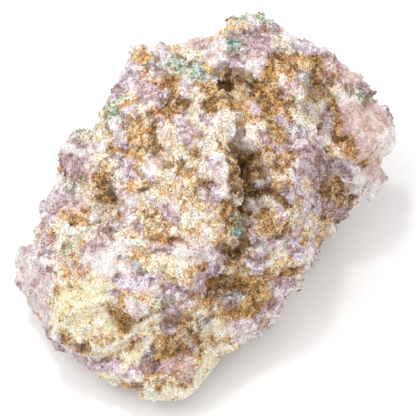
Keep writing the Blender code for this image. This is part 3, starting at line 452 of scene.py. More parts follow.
# The minerals whose grains are mixed into each mineral, with their shares, and how much of those
# shares is used.
MIXED_IN = {
    "mauve mica": (("lilac mica", 0.20), ("plum mica", 0.14), ("blush mica", 0.08)),
    "lilac mica": (("blush mica", 0.20), ("mauve mica", 0.20), ("slate crystal", 0.05)),
    "pink mica": (("blush mica", 0.16), ("mauve mica", 0.18), ("sandy crust", 0.05)),
    "rose mica": (("pink mica", 0.22), ("mauve mica", 0.14), ("sandy crust", 0.10)),
    "plum mica": (("mauve mica", 0.20), ("lilac mica", 0.05), ("brown crust", 0.14)),
    "blush mica": (("white crystal", 0.20), ("lilac mica", 0.14), ("sandy crust", 0.06)),
    "glassy rose": (("glassy blush", 0.16), ("pink mica", 0.16), ("rose mica", 0.10)),
    "glassy blush": (("white crystal", 0.14), ("glassy rose", 0.12), ("lilac mica", 0.06)),
    "white crystal": (("blush mica", 0.20), ("lilac mica", 0.06), ("cream crust", 0.06)),
    "cream crust": (("white crystal", 0.16), ("sandy crust", 0.16), ("brown crust", 0.04)),
    "yellow feldspar": (("pale feldspar", 0.26), ("sandy crust", 0.05), ("ochre crust", 0.03)),
    "pale feldspar": (("white crystal", 0.16), ("sandy crust", 0.10), ("ochre crust", 0.08)),
    "sandy crust": (("cream crust", 0.22), ("ochre crust", 0.14), ("mauve mica", 0.12)),
    "ochre crust": (("sandy crust", 0.28), ("rusty crust", 0.18), ("cream crust", 0.10)),
    "rusty crust": (("ochre crust", 0.24), ("brown crust", 0.20), ("sandy crust", 0.10)),
    "brown crust": (("rusty crust", 0.26), ("dark pit and shade", 0.20), ("sandy crust", 0.10)),
    "dark pit and shade": (("brown crust", 0.30), ("rusty crust", 0.08), ("sandy crust", 0.02)),
    "green crystal": (("cream crust", 0.16), ("slate crystal", 0.12), ("brown crust", 0.05)),
    "teal crystal": (("green crystal", 0.24), ("white crystal", 0.14), ("slate crystal", 0.08)),
    "slate crystal": (("white crystal", 0.18), ("lilac mica", 0.20), ("plum mica", 0.12)),
    "grey quartz": (("blush mica", 0.16), ("mauve mica", 0.08), ("white crystal", 0.05)),
}
MIXING = 0.65

# Each family of minerals: the colour laid into its creases, partly rusty dirt and partly painted
# shade, how much of that dirt and painted shade there is, and how much its broken faces differ in
# brightness.
FAMILY_TRAITS = ("crease", "dirt_and_shade", "face light")
FAMILIES = {
    "mica": ((0.44, 0.25, 0.17), 1.0, 1.0),
    "crust": ((0.60, 0.34, 0.13), 0.65, 0.4),
    "rust": ((0.22, 0.105, 0.035), 1.0, 0.4),
    "glass": ((0.55, 0.36, 0.29), 0.8, 0.55),
}
# Each mineral's habit: its family, how rough its surface is, how high its sugary relief is, how
# many dark specks it carries, how deep it lies under the surface, how much it is smoothed, and
# how high the steps between its broken faces are.
HABIT_TRAITS = ("family", "rough", "sugary", "specks", "depth", "smoothed", "broken")
HABITS = {
    "mauve mica": ("mica", 0.36, 0.04, 0.0, 0.0, 0.35, 0.8),
    "lilac mica": ("mica", 0.34, 0.04, 0.0, 0.0, 0.35, 0.8),
    "pink mica": ("mica", 0.34, 0.035, 0.0, 0.0, 0.4, 0.75),
    "rose mica": ("mica", 0.4, 0.04, 0.05, 0.05, 0.4, 0.7),
    "plum mica": ("mica", 0.38, 0.04, 0.08, 0.1, 0.35, 0.8),
    "blush mica": ("mica", 0.3, 0.024, 0.0, 0.0, 0.5, 0.55),
    "glassy rose": ("glass", 0.2, 0.015, 0.0, -0.05, 0.85, 0.4),
    "glassy blush": ("glass", 0.18, 0.012, 0.0, -0.05, 0.85, 0.4),
    "white crystal": ("glass", 0.26, 0.02, 0.0, -0.1, 0.2, 0.5),
    "cream crust": ("crust", 0.8, 0.07, 0.13, -0.05, 0.5, 0.45),
    "yellow feldspar": ("crust", 0.55, 0.024, 0.05, 0.0, 0.75, 0.4),
    "pale feldspar": ("crust", 0.55, 0.026, 0.05, 0.0, 0.65, 0.5),
    "sandy crust": ("crust", 0.72, 0.07, 0.16, 0.05, 0.45, 0.5),
    "ochre crust": ("crust", 0.85, 0.07, 0.2, 0.1, 0.45, 0.5),
    "rusty crust": ("rust", 0.88, 0.075, 0.3, 0.15, 0.45, 0.5),
    "brown crust": ("rust", 0.9, 0.08, 0.38, 0.2, 0.45, 0.5),
    "dark pit and shade": ("rust", 0.92, 0.08, 0.42, 0.2, 0.45, 0.5),
    "green crystal": ("mica", 0.4, 0.06, 0.1, 0.0, 0.15, 0.8),
    "teal crystal": ("mica", 0.32, 0.06, 0.05, 0.0, 0.15, 0.8),
    "slate crystal": ("mica", 0.3, 0.05, 0.06, 0.05, 0.15, 0.9),
    "grey quartz": ("glass", 0.22, 0.012, 0.0, 0.0, 0.9, 0.2),
}
# Minerals with less sugary relief than this are shaded smooth.
SUGARY_ENOUGH = 0.07
# The lumps that the surface is built of: their smallest and largest size, how flat they are, and
# how far they stand out of the ground as a share of their thickness.
LUMP_TRAITS = ("smallest", "largest", "flat", "rise")
LUMPS = {
    "mauve mica": (2.0, 4.6, 0.6, 0.20),
    "lilac mica": (1.8, 4.2, 0.6, 0.22),
    "pink mica": (2.2, 5.0, 0.6, 0.20),
    "rose mica": (2.4, 5.0, 0.6, 0.16),
    "plum mica": (2.0, 4.4, 0.6, 0.15),
    "blush mica": (2.4, 4.8, 0.6, 0.20),
    "glassy rose": (4.0, 7.0, 0.6, 0.12),
    "glassy blush": (4.0, 7.5, 0.6, 0.12),
    "white crystal": (1.6, 2.8, 0.8, 0.38),
    "cream crust": (1.6, 3.6, 0.7, 0.16),
    "yellow feldspar": (4.6, 8.0, 0.5, 0.08),
    "pale feldspar": (3.0, 6.0, 0.55, 0.12),
    "sandy crust": (1.6, 3.6, 0.7, 0.14),
    "ochre crust": (1.4, 3.2, 0.7, 0.13),
    "rusty crust": (1.4, 3.0, 0.7, 0.12),
    "brown crust": (1.2, 2.8, 0.7, 0.12),
    "dark pit and shade": (0.9, 2.2, 0.8, 0.08),
    "green crystal": (1.2, 2.6, 0.7, 0.20),
    "teal crystal": (1.2, 2.6, 0.7, 0.20),
    "slate crystal": (1.4, 3.2, 0.6, 0.18),
    "grey quartz": (4.0, 7.0, 0.5, -0.3),
}
# Two layers of lumps: how far apart the lumps are as a share of their size, and their size.
LUMP_LAYERS = ((0.62, 1.0), (0.85, 0.55))
# The higher this power, the more of the lumps are small.
SMALL_LUMPS = 1.6
SIDES_VARY = (0.8, 1.2)
RISE_VARIES = (0.75, 1.15)
# Lumps lean at random, the large ones less, and sink where the surface is seen edge-on.
LUMP_LEAN = 0.9
LEAN_LOST_WITH_SIZE = 0.35
EDGE_ON = 0.45
SUNK_EDGE_ON = 0.22

# The minerals on the sides that the photograph doesn't show, in three mixes, and the values of
# the region noise at which one mix gives way to the next.
HIDDEN_MIXES = (
    {
        "mauve mica": 0.22, "lilac mica": 0.20, "pink mica": 0.12, "plum mica": 0.10,
        "blush mica": 0.10, "cream crust": 0.08, "slate crystal": 0.04, "rusty crust": 0.07,
        "white crystal": 0.03, "green crystal": 0.02, "sandy crust": 0.02,
    },
    {
        "cream crust": 0.30, "sandy crust": 0.12, "blush mica": 0.10, "lilac mica": 0.10,
        "ochre crust": 0.09, "rusty crust": 0.09, "brown crust": 0.05, "yellow feldspar": 0.06,
        "mauve mica": 0.06, "white crystal": 0.03,
    },
    {
        "rusty crust": 0.26, "brown crust": 0.18, "ochre crust": 0.16, "sandy crust": 0.10,
        "dark pit and shade": 0.05, "mauve mica": 0.08, "plum mica": 0.07, "cream crust": 0.07,
        "teal crystal": 0.02, "green crystal": 0.01,
    },
)
MIX_LIMITS = (0.12, 0.62)
HIDDEN_PATCH = 3.3

# The big blocks that the photograph shows: where their middle lies, right and up from the middle
# of the view, half their length and width, their turn in degrees, and how far they stand out.
BLOCKS = (
    (31.6, 17.0, 4.8, 4.2, 0, 1.0), (27.6, 16.0, 1.8, 1.8, 0, 0.9), (35.4, 12.4, 2.2, 2.0, 0, 0.8),
    (29.0, 23.6, 2.8, 1.4, -35, 0.5), (31.8, 9.2, 3.4, 2.0, -20, 0.5),
    (31.4, 4.0, 3.0, 2.8, 20, 0.9), (27.0, 9.0, 2.8, 1.6, -35, 0.7),
    (22.8, 10.0, 2.4, 1.8, 10, 0.6), (18.8, 10.6, 2.2, 2.6, 0, 0.6), (22.2, 13.2, 2.2, 1.4, 0, 0.6),
    (17.8, 15.2, 2.0, 1.6, 0, 0.6), (21.4, 18.8, 2.4, 3.2, 0, 1.0), (14.6, 18.0, 1.0, 1.2, 0, 0.7),
    (15.4, 24.6, 1.6, 1.2, 0, 0.7), (25.4, -0.8, 2.4, 2.6, 0, 0.6), (14.6, -1.0, 1.0, 1.8, 0, 0.8),
    (11.8, 1.2, 1.2, 1.4, 0, 0.8), (9.0, 0.0, 1.4, 1.2, 0, 3.6), (16.4, 3.0, 1.6, 1.6, 0, 0.5),
    (18.4, -2.0, 1.8, 1.6, 0, 0.5), (-33.6, -13.6, 3.0, 3.8, 0, 0.2),
    (-21.0, -11.4, 3.8, 2.8, 35, 0.7), (-25.6, -18.8, 5.4, 4.0, 25, 1.1),
    (-23.6, -23.2, 4.0, 2.2, 0, 0.7), (-14.8, -16.8, 5.2, 2.6, -25, 0.9),
    (-16.0, -20.0, 4.4, 0.9, -33, 1.0), (-16.0, -25.6, 5.6, 0.8, 38, 1.1),
    (-25.0, -5.0, 3.6, 1.6, 0, 0.4), (-18.0, -1.0, 2.0, 1.8, 0, 0.4),
    (-6.8, -16.6, 2.4, 1.6, 30, 0.9), (-4.6, -19.2, 2.4, 1.2, 30, 0.8),
    (-5.2, -12.4, 2.8, 2.2, -50, 0.6), (-9.6, -22.8, 5.2, 0.8, 35, 0.9),
    (-7.4, -23.4, 2.0, 1.6, 0, 0.5), (-1.2, -23.6, 2.4, 1.4, 60, 0.5),
    (6.8, -23.4, 2.8, 1.6, 10, 0.6), (12.8, -21.6, 1.2, 2.2, -10, 0.7),
    (4.4, -17.8, 2.8, 1.6, 0, 0.2), (15.2, -14.8, 3.2, 2.6, 30, 0.6),
    (-6.6, -30.8, 4.4, 2.2, 10, 0.7), (2.8, -27.6, 5.2, 1.8, 38, 0.7),
    (-8.6, -37.6, 4.4, 1.6, 5, 0.4), (9.4, -10.4, 3.2, 1.6, -10, 0.6),
    (-12.6, 31.6, 2.4, 1.8, 0, 0.6), (-14.6, 26.0, 2.0, 2.8, 0, 0.6),
    (-11.2, 24.0, 1.8, 1.8, 0, 0.7), (-9.8, 28.2, 1.8, 1.6, 0, 0.6),
    (-3.2, 33.0, 2.4, 1.2, 15, 0.5), (2.0, 30.6, 1.6, 2.2, 30, 0.7), (9.8, 32.4, 3.4, 3.0, 0, 0.8),
    (-4.6, 23.6, 1.8, 1.6, 0, 0.7), (0.8, 24.2, 1.6, 1.6, 0, 0.6), (-4.6, 17.0, 1.8, 2.0, 0, 0.6),
    (3.8, 16.2, 2.6, 2.4, 0, 0.6), (9.2, 20.2, 1.0, 1.8, 25, 0.8), (10.0, 12.8, 2.4, 1.6, 0, 2.8),
    (7.0, 13.6, 2.2, 1.8, 0, 3.6), (2.6, 7.4, 2.0, 3.4, -12, 1.0), (3.0, 3.0, 2.0, 1.2, 0, 0.8),
    (-2.8, -7.0, 4.2, 2.0, -12, 1.0), (-11.2, 8.6, 1.8, 1.8, 0, 0.4),
    (-8.0, -2.0, 2.4, 1.6, 0, 0.3), (2.2, 27.0, 1.6, 1.4, 0, 1.8), (6.4, 25.6, 1.8, 1.6, 0, 1.4),
    (4.2, 14.0, 4.0, 2.2, 0, 0.3), (9.6, 15.8, 1.8, 1.6, 0, 1.6), (9.2, 5.2, 1.2, 1.2, 0, 1.4),
    (23.2, 20.8, 1.6, 2.4, 0, 1.6), (7.2, 23.6, 1.8, 1.4, 0, 1.8), (6.4, 12.2, 1.6, 2.0, 0, 3.0),
)
# Cleaving takes the corners off a block, so it starts wider than it is to be. It is about as thick
# as it is narrow, leans towards the camera, and sits in the body by a share of its thickness.
BLOCK_START = 2.2
BLOCK_THICKNESS = 1.3
BLOCK_EXTRA = 1.0
THICKEST_BLOCK = 6.0
BLOCK_LEAN = 0.5
BLOCK_SUNK = 0.45
# The shares of the lumps and of the broken relief that are left out on the blocks.
LUMPS_OFF_BLOCKS = 0.85
BREAKS_OFF_BLOCKS = 0.6
# The ground lies this deep under the CAD solid. Its hollows are evened out a little, and deep ones
# of a rusty mineral nearly altogether.
GROUND_DEPTH = 0.35
EVENED_OUT = 0.12
EVENED_OUT_IN_RUST = 0.85
DEEP_HOLLOW = 0.3
# Sizes of the fused rock: the voxels of its ground and of its surface, and the triangles kept.
GROUND_VOXEL = 0.62
ROCK_VOXEL = 0.3
ROCK_TRIANGLES = 192000
# Heights above this level are squeezed, so that the stone stays as high as the CAD solid.
SQUEEZED_ABOVE = 38.8
SQUEEZE = 0.4
# Sizes of the surface's details: its sugary grains, the grains of one colour, and the tilted
# faces that it breaks into.
SUGARY_GRAIN = 0.85
COLOUR_GRAIN = 0.9
BROAD_FACE = 3.4
SMALL_FACE = 1.6
# How high the broken faces and the sugary grains stand, as shares of the minerals' habits.
BROAD_BREAK = 0.66
SMALL_BREAK = 0.36
GRAIN_HEIGHT = 1.5
GRAIN_TOP = 0.35
GRAIN_MIDDLE = 0.2
# How much lumps, grains and broken faces differ in brightness.
LUMP_LIGHT = 0.12
GRAIN_LIGHT = 0.22
BROAD_FACE_LIGHT = 0.14
SMALL_FACE_LIGHT = 0.34
# The colour of a lump is looked up this far towards its middle, so that most are of one mineral.
TOWARDS_MIDDLE = 0.35
# The most dirt and painted shade that a crease gets.
MOST_DIRT_AND_SHADE = 0.85
# The most wear and painted highlight that an edge gets.
MOST_WEAR_AND_HIGHLIGHT = 0.2
# Colours stored on the meshes stay inside these limits, and bright ones are held back.
DARKEST = 0.004
BRIGHTEST = 0.95
HELD_BACK_ABOVE = 0.68
HELD_BACK_TO = 0.6

# The small crystals on the rock: their minerals, the gap between them as a share of their size,
# their smallest and largest size, how flat they are, how deep they sit, and how much they lean.
CRYSTAL_SETS = {
    "mica_books": {
        "kinds": ("mauve mica", "lilac mica", "pink mica", "plum mica", "slate crystal"),
        "spacing": 3.2, "size": (0.6, 1.5), "flat": 0.6, "rise": -0.4, "lean": 0.3,
    },
    "crust_grains": {
        "kinds": ("cream crust", "sandy crust"),
        "spacing": 2.4, "size": (0.35, 0.9), "flat": 0.8, "rise": -0.25, "lean": 0.9,
    },
    "rust_crumbs": {
        "kinds": ("rusty crust", "brown crust", "ochre crust", "dark pit and shade"),
        "spacing": 2.0, "size": (0.35, 0.8), "flat": 0.9, "rise": -0.2, "lean": 1.2,
    },
    "green_prisms": {
        "kinds": ("green crystal", "teal crystal", "slate crystal"),
        "spacing": 1.8, "size": (0.3, 0.6), "flat": 1.0, "rise": -0.35, "lean": 1.2,
    },
}

# Sizes in the rock's finish, and the colours of its specks.
TINY_GRAIN = 0.34
TINY_FACE = 0.42
FINE_GRAIN = 0.26
CRUMB = 0.5
PALE_SPECK = (0.78, 0.53, 0.26, 1)
DARK_SPECK = (0.06, 0.033, 0.014, 1)

WORLD_LIGHT = 0.88
# Soft boxes: how far right, up and towards the camera they stand, their size and their power.
SOFT_LIGHTS = (
    ("key_light", -0.55, 0.50, 0.72, 0.35, 1.1),
    ("side_light", 0.80, 0.10, 0.45, 0.30, 0.35),
    ("small_light", -0.20, 0.75, 0.60, 0.07, 0.75),
)
LIGHT_DISTANCE = 0.6
FLOOR_SIZE = 3.0

# Large odd numbers, and shifts, that turn a cell's whole numbers into a random one.
AXIS_SCRAMBLERS = (73856093, 19349663, 83492791)
SALT_SCRAMBLER = 40503
BIT_SCRAMBLERS = ((15, 224682251), (13, 326648991))
LAST_SHIFT = 16
LOW_32_BITS = 0xFFFFFFFF
LOW_24_BITS = 0xFFFFFF


def random_in_cells(cells, salt):
    """A fixed random number from 0 to 1 for each whole-number cell."""
    mixed = salt * SALT_SCRAMBLER
    for axis, scrambler in enumerate(AXIS_SCRAMBLERS):
        mixed = mixed ^ (cells[:, axis].astype(np.int64) * scrambler)
    for shift, scrambler in BIT_SCRAMBLERS:
        mixed = ((mixed ^ (mixed >> shift)) * scrambler) & LOW_32_BITS
    return ((mixed ^ (mixed >> LAST_SHIFT)) & LOW_24_BITS) / LOW_24_BITS


def random_triples(cells, salt):
    """Three fixed random numbers from 0 to 1 for each cell."""
    return np.stack([random_in_cells(cells, salt + axis) for axis in range(3)], axis=1)


def drift(points, size, salt):
    """Smooth random values from -1 to 1 that change over the given size."""
    place = points / size
    cell = np.floor(place)
    ease = (place - cell).T
    ease = ease * ease * (3 - 2 * ease)
    shares = (1 - ease, ease)
    total = np.zeros(len(points))
    for i, j, k in itertools.product((0, 1), repeat=3):
        weight = shares[i][0] * shares[j][1] * shares[k][2]
        total += weight * random_in_cells(cell + (i, j, k), salt)
    return 2 * total - 1


def grains(points, size, salt):
    """Random grains that fill space: how deep each point is inside its grain, from 0 at its edge
    to about 0.5, and the cell of that grain."""
    place = points / size
    home = np.floor(place)
    nearest = np.full(len(points), np.inf)
    second = np.full(len(points), np.inf)
    owner = np.zeros_like(home)
    for step in itertools.product((-1, 0, 1), repeat=3):
        cell = home + step
        distance = np.linalg.norm(place - (cell + random_triples(cell, salt)), axis=1)
        closer = distance < nearest
        second = np.where(closer, nearest, np.minimum(second, distance))
        nearest = np.where(closer, distance, nearest)
        owner[closer] = cell[closer]
    return (second - nearest) / 2, owner


def facets(points, size, salt):
    """Heights, in shares of the size, of a surface broken into tilted faces of that size."""
    cell = grains(points, size, salt)[1]
    centre = cell + random_triples(cell, salt)
    tilt = random_triples(cell, salt + 5) * 2 - 1
    step = random_in_cells(cell, salt + 9) - 0.5
    return np.einsum("ij,ij->i", points / size - centre, tilt) + 0.5 * step


def wander(points, size, reach, salt):
    """The points moved about at random by up to the reach, so that edges drawn there are ragged."""
    shift = [drift(points, size, salt + axis) for axis in range(3)]
    return points + reach * np.stack(shift, axis=1)


def sugary_grains(points, size):
    return grains(wander(points, size=0.8, reach=0.2, salt=501), size, salt=511)


def broad_faces(points, pattern):
    """The grains or the facets of the broad broken faces, as the pattern says."""
    return pattern(wander(points, size=2.0, reach=0.4, salt=581), BROAD_FACE, salt=591)


def small_faces(points, pattern):
    return pattern(wander(points, size=1.0, reach=0.2, salt=601), SMALL_FACE, salt=611)


def appears_at(points):
    """Where points show in the photograph's view, right and up from its middle."""
    from_eye = points - np.array(EYE)
    scale = EYE_DISTANCE / -(from_eye @ np.array(BACK))
    return np.stack([from_eye @ np.array(RIGHT), from_eye @ np.array(UP)], axis=1) * scale[:, None]


def distance_to_line(places, line):
    """How far each place is from a line of places."""
    nearest = np.full(len(places), np.inf)
    for start, end in zip(line[:-1], line[1:]):
        run = end - start
        along = np.clip((places - start) @ run / max(run @ run, 1e-9), 0, 1)
        nearest = np.minimum(nearest, np.linalg.norm(places - start - along[:, None] * run, axis=1))
    return nearest


def minerals_in_view(places):
    """The number of the mineral whose patch holds each place, or else lies nearest."""
    best = np.full(len(places), -np.inf)
    chosen = np.zeros(len(places), dtype=int)
    across, up = np.ascontiguousarray(places.T)
    for number, half_width, line in PATCHES:
        left, low = line.min(axis=0) - half_width - PATCH_REACH
        right, high = line.max(axis=0) + half_width + PATCH_REACH
        near = np.flatnonzero((across > left) & (across < right) & (up > low) & (up < high))
        if not len(near):
            continue
        distance = distance_to_line(places[near], line)
        inside = 1 - distance / (half_width + PATCH_RIM)
        score = np.where(inside > 0, 1 + inside, half_width - distance)
        better = score > best[near]
        best[near[better]] = score[better]
        chosen[near[better]] = number
    return chosen


def minerals_out_of_view(points):
    """The number of the mineral at points that the photograph doesn't show."""
    squeezed = wander(points, size=2.2, reach=0.9, salt=301) * np.array((1, 1, 1.25))
    pick = random_in_cells(grains(squeezed, HIDDEN_PATCH, salt=311)[1], salt=321)
    level = drift(points, size=11, salt=331) + 0.45 * drift(points, size=4.5, salt=341)
    region = np.digitize(level, MIX_LIMITS)
    chosen = np.zeros(len(points), dtype=int)
    for which, mix in enumerate(HIDDEN_MIXES):
        part = region == which
        shares = np.cumsum(list(mix.values()))
        numbers = np.array([NUMBER[name] for name in mix])
        chosen[part] = numbers[np.searchsorted(shares, pick[part] * shares[-1])]
    return chosen


def minerals_at(points, normals):
    """The number of the mineral at each point of the surface."""
    ragged = wander(points, size=1.3, reach=0.45, salt=401)
    ragged = wander(ragged, size=0.5, reach=0.25, salt=411)
    in_view = minerals_in_view(appears_at(ragged))
    facing = normals @ np.array(BACK) + 0.16 * drift(points, size=3.0, salt=421)
    return np.where(facing > 0, in_view, minerals_out_of_view(points))


def habit(minerals, trait):
    """One trait of the minerals' habits at each point."""
    column = HABIT_TRAITS.index(trait)
    return np.array([HABITS[name][column] for name in NAMES])[minerals]


def family_trait(minerals, trait):
    """One trait of the minerals' families at each point."""
    column = FAMILY_TRAITS.index(trait)
    return np.array([FAMILIES[HABITS[name][0]][column] for name in NAMES])[minerals]


def lump_trait(minerals, trait):
    """One trait of the minerals' lumps at each point."""
    column = LUMP_TRAITS.index(trait)
    return np.array([LUMPS[name][column] for name in NAMES])[minerals]


def select_only(piece):
    bpy.ops.object.select_all(action="DESELECT")
    piece.select_set(True)
    bpy.context.view_layer.objects.active = piece


def apply_modifier(piece, kind, **settings):
    modifier = piece.modifiers.new(kind.lower(), kind)
    for setting, value in settings.items():
        setattr(modifier, setting, value)
    select_only(piece)
    bpy.ops.object.modifier_apply(modifier=modifier.name)


def add_piece(name, points, faces):
    mesh = bpy.data.meshes.new(name)
    mesh.from_pydata(np.asarray(points).tolist(), [], faces)
    mesh.update()
    piece = bpy.data.objects.new(name, mesh)
    bpy.context.collection.objects.link(piece)
    return piece


def points_of(piece):
    flat = np.empty(3 * len(piece.data.vertices))
    piece.data.vertices.foreach_get("co", flat)
    return flat.reshape(-1, 3)


def normals_of(piece):
    flat = np.empty(3 * len(piece.data.vertices), dtype=np.float32)
    piece.data.vertex_normals.foreach_get("vector", flat)
    return flat.reshape(-1, 3).astype(float)


def faces_of(piece):
    return [tuple(face.vertices) for face in piece.data.polygons]


def put_points(piece, points):
    piece.data.vertices.foreach_set("co", np.ascontiguousarray(points).ravel())
    piece.data.update()


def spread(piece, values, times):
    """Values of the points, averaged that many times with those of the points next to them."""
    pairs = np.empty(2 * len(piece.data.edges), dtype=np.int32)
    piece.data.edges.foreach_get("vertices", pairs)
    first, second = pairs.reshape(-1, 2).T
    count = len(piece.data.vertices)
    neighbours = np.bincount(first, minlength=count) + np.bincount(second, minlength=count)
    values = values.reshape(count, -1)
    for _ in range(times):
        total = np.stack(
            [
                np.bincount(first, weights=column[second], minlength=count)
                + np.bincount(second, weights=column[first], minlength=count)
                for column in values.T
            ],
            axis=1,
        )
        values = 0.5 * values + 0.5 * total / np.maximum(neighbours, 1)[:, None]
    return values


def hollowness(piece, points, normals, times):
    """How far each point lies under its surroundings, which are wider the more times are given."""
    return np.einsum("ij,ij->i", spread(piece, points, times) - points, normals)


def paint(piece, name, colours):
    """Stores a colour for each point of the mesh, for the material to read."""
    layer = piece.data.color_attributes.new(name, "FLOAT_COLOR", "POINT")
    full = np.ones((len(colours), 4))
    full[:, : colours.shape[1]] = np.clip(colours, DARKEST, BRIGHTEST)
    layer.data.foreach_set("color", full.ravel())


def cleave(place, direction):
    """Cuts off what lies beyond a plane of the shape in edit mode, and closes the cut."""
    bpy.ops.mesh.select_all(action="SELECT")
    bpy.ops.mesh.bisect(plane_co=place, plane_no=direction, use_fill=True, clear_outer=True)


def finished_shape():
    """Ends edit mode, and takes the shape out of the scene as its points and faces."""
    bpy.ops.mesh.select_all(action="SELECT")
    bpy.ops.mesh.normals_make_consistent(inside=False)
    bpy.ops.object.mode_set(mode="OBJECT")
    piece = bpy.context.object
    shape = points_of(piece), faces_of(piece)
    bpy.data.objects.remove(piece)
    return shape


def cleaved_lump(rng, cuts, reach):
    """One broken lump: a block with planes cleaved off its corners."""
    bpy.ops.object.select_all(action="DESELECT")
    bpy.ops.mesh.primitive_cube_add(size=1)
    bpy.ops.object.mode_set(mode="EDIT")
    for _ in range(cuts):
        direction = rng.normal(size=3)
        direction /= np.linalg.norm(direction)
        cleave(tuple(direction * rng.uniform(*reach)), tuple(direction))
    return finished_shape()


def mica_book(rng):
    """One book of mica: a stack of six-sided plates, each a little shifted, with a broken corner.
    """
    bpy.ops.object.select_all(action="DESELECT")
    plate_rise, plate_step, plate_shift = 0.09, 0.05, 0.04
    bpy.ops.mesh.primitive_cylinder_add(vertices=6, radius=0.5, depth=0.24)
    bpy.ops.object.mode_set(mode="EDIT")
    mesh = bmesh.from_edit_mesh(bpy.context.object.data)
    bpy.ops.mesh.select_all(action="DESELECT")
    mesh.faces.ensure_lookup_table()
    for face in mesh.faces:
        face.select_set(face.normal.z > 0.9)
    bmesh.update_edit_mesh(bpy.context.object.data)
    for _ in range(2):
        bpy.ops.mesh.inset(thickness=plate_step)
        across, along = rng.uniform(-plate_shift, plate_shift, 2)
        shift = (across, along, plate_rise)
        bpy.ops.mesh.extrude_region_move(TRANSFORM_OT_translate={"value": shift})
    across, along = math.cos(rng.uniform(0, 6)), math.sin(rng.uniform(0, 6))
    direction = Vector((across, along, rng.uniform(-0.3, 0.3))).normalized()
    corner_left = 0.3
    cleave(direction * corner_left, direction)
    return finished_shape()


def crystal_prism(rng):
    """One green crystal: a ribbed prism with a slanting broken end."""
    bpy.ops.object.select_all(action="DESELECT")
    bpy.ops.mesh.primitive_cylinder_add(vertices=9, radius=0.5, depth=2.6)
    bpy.ops.object.mode_set(mode="EDIT")
    for side in (1, -1):
        direction = Vector((rng.uniform(-0.4, 0.4), rng.uniform(-0.4, 0.4), side)).normalized()
        cleave(direction * rng.uniform(0.9, 1.2), direction)
    points, faces = finished_shape()
    turn = np.arctan2(points[:, 1], points[:, 0])
    ribs, rib_height = 3, 0.12
    points[:, :2] *= (1 + rib_height * np.cos(ribs * turn))[:, None]
    return points, faces


def frames_along(directions, rng):
    """For each direction, a turned set of axes whose third axis follows it."""
    third = directions / np.linalg.norm(directions, axis=1)[:, None]
    first = np.cross(rng.normal(size=third.shape), third)
    first /= np.linalg.norm(first, axis=1)[:, None]
    return np.stack([first, np.cross(third, first), third], axis=2)


def joined(parts):
    """The points and faces of several shapes as one."""
    faces, start = [], 0
    for part_points, part_faces in parts:
        faces.extend([tuple(corner + start for corner in face) for face in part_faces])
        start += len(part_points)
    return np.concatenate([part[0] for part in parts]), faces


def copies(shapes, centres, frames, sizes, rng):
    """The points and faces of many copies of a few shapes, and the copy that each point is in."""
    points, faces, owners = [], [], []
    kind = rng.integers(0, len(shapes), len(centres))
    start = 0
    for number, (model, sides) in enumerate(shapes):
        members = np.flatnonzero(kind == number)
        if not len(members):
            continue
        placed = model[None] * sizes[members][:, None]
        placed = np.einsum("nij,nkj->nki", frames[members], placed) + centres[members][:, None]
        points.append(placed.reshape(-1, 3))
        owners.append(np.repeat(members, len(model)))
        for copy in range(len(members)):
            shift = start + copy * len(model)
            faces.extend([tuple(corner + shift for corner in side) for side in sides])
        start += len(members) * len(model)
    return np.concatenate(points), faces, np.concatenate(owners)


def spaced_out(points, spacing, rng):
    """The numbers of points picked at random so that no two are nearer than their spacing."""
    tree = kdtree.KDTree(len(points))
    for number, spot in enumerate(points.tolist()):
        tree.insert(spot, number)
    tree.balance()
    free = np.ones(len(points), dtype=bool)
    kept = []
    for number in rng.permutation(len(points)):
        if free[number]:
            kept.append(number)
            for _, other, _ in tree.find_range(points[number], spacing[number]):
                free[other] = False
    return np.array(kept)


def ground():
    """The stone's body from the CAD solid, with the hollows of each mineral sunk into it."""
    body = bpy.data.objects.new("rock_mass", frame["nodes"]["lepidolite_specimen"].data.copy())
    bpy.context.collection.objects.link(body)
    mesh = bmesh.new()
    mesh.from_mesh(body.data)
    bmesh.ops.remove_doubles(mesh, verts=mesh.verts, dist=0.00001)
    bmesh.ops.scale(mesh, vec=(1 / MM,) * 3, verts=mesh.verts)
    mesh.to_mesh(body.data)
    mesh.free()
    body.data.materials.clear()
    apply_modifier(body, "REMESH", mode="VOXEL", voxel_size=GROUND_VOXEL)
    points, normals = points_of(body), normals_of(body)
    minerals = minerals_at(points, normals)
    sunk = spread(body, habit(minerals, "depth") + GROUND_DEPTH, times=6)
    evened = spread(body, points, times=60) - points
    deep = np.clip(np.einsum("ij,ij->i", evened, normals) - DEEP_HOLLOW, 0, 1)
    rusty = habit(minerals, "family") == "rust"
    share = EVENED_OUT + EVENED_OUT_IN_RUST * spread(body, rusty * deep, times=6)
    points = points + share * evened - normals * sunk
    put_points(body, spread(body, points, times=1))
    return body


def on_blocks(points, normals):
    """How surely each point lies on one of the big blocks that the photograph shows."""
    places = appears_at(points)
    inside = np.zeros(len(points))
    for across, up, length, width, turn, _ in BLOCKS:
        along = np.array((math.cos(math.radians(turn)), math.sin(math.radians(turn))))
        off = places - (across, up)
        share = np.hypot(off @ along / length, off @ np.array((-along[1], along[0])) / width)
        sureness = 3.0 * (1 - share)
        inside = np.maximum(inside, np.clip(sureness, 0, 1))
    return inside * (normals @ np.array(BACK) > 0)


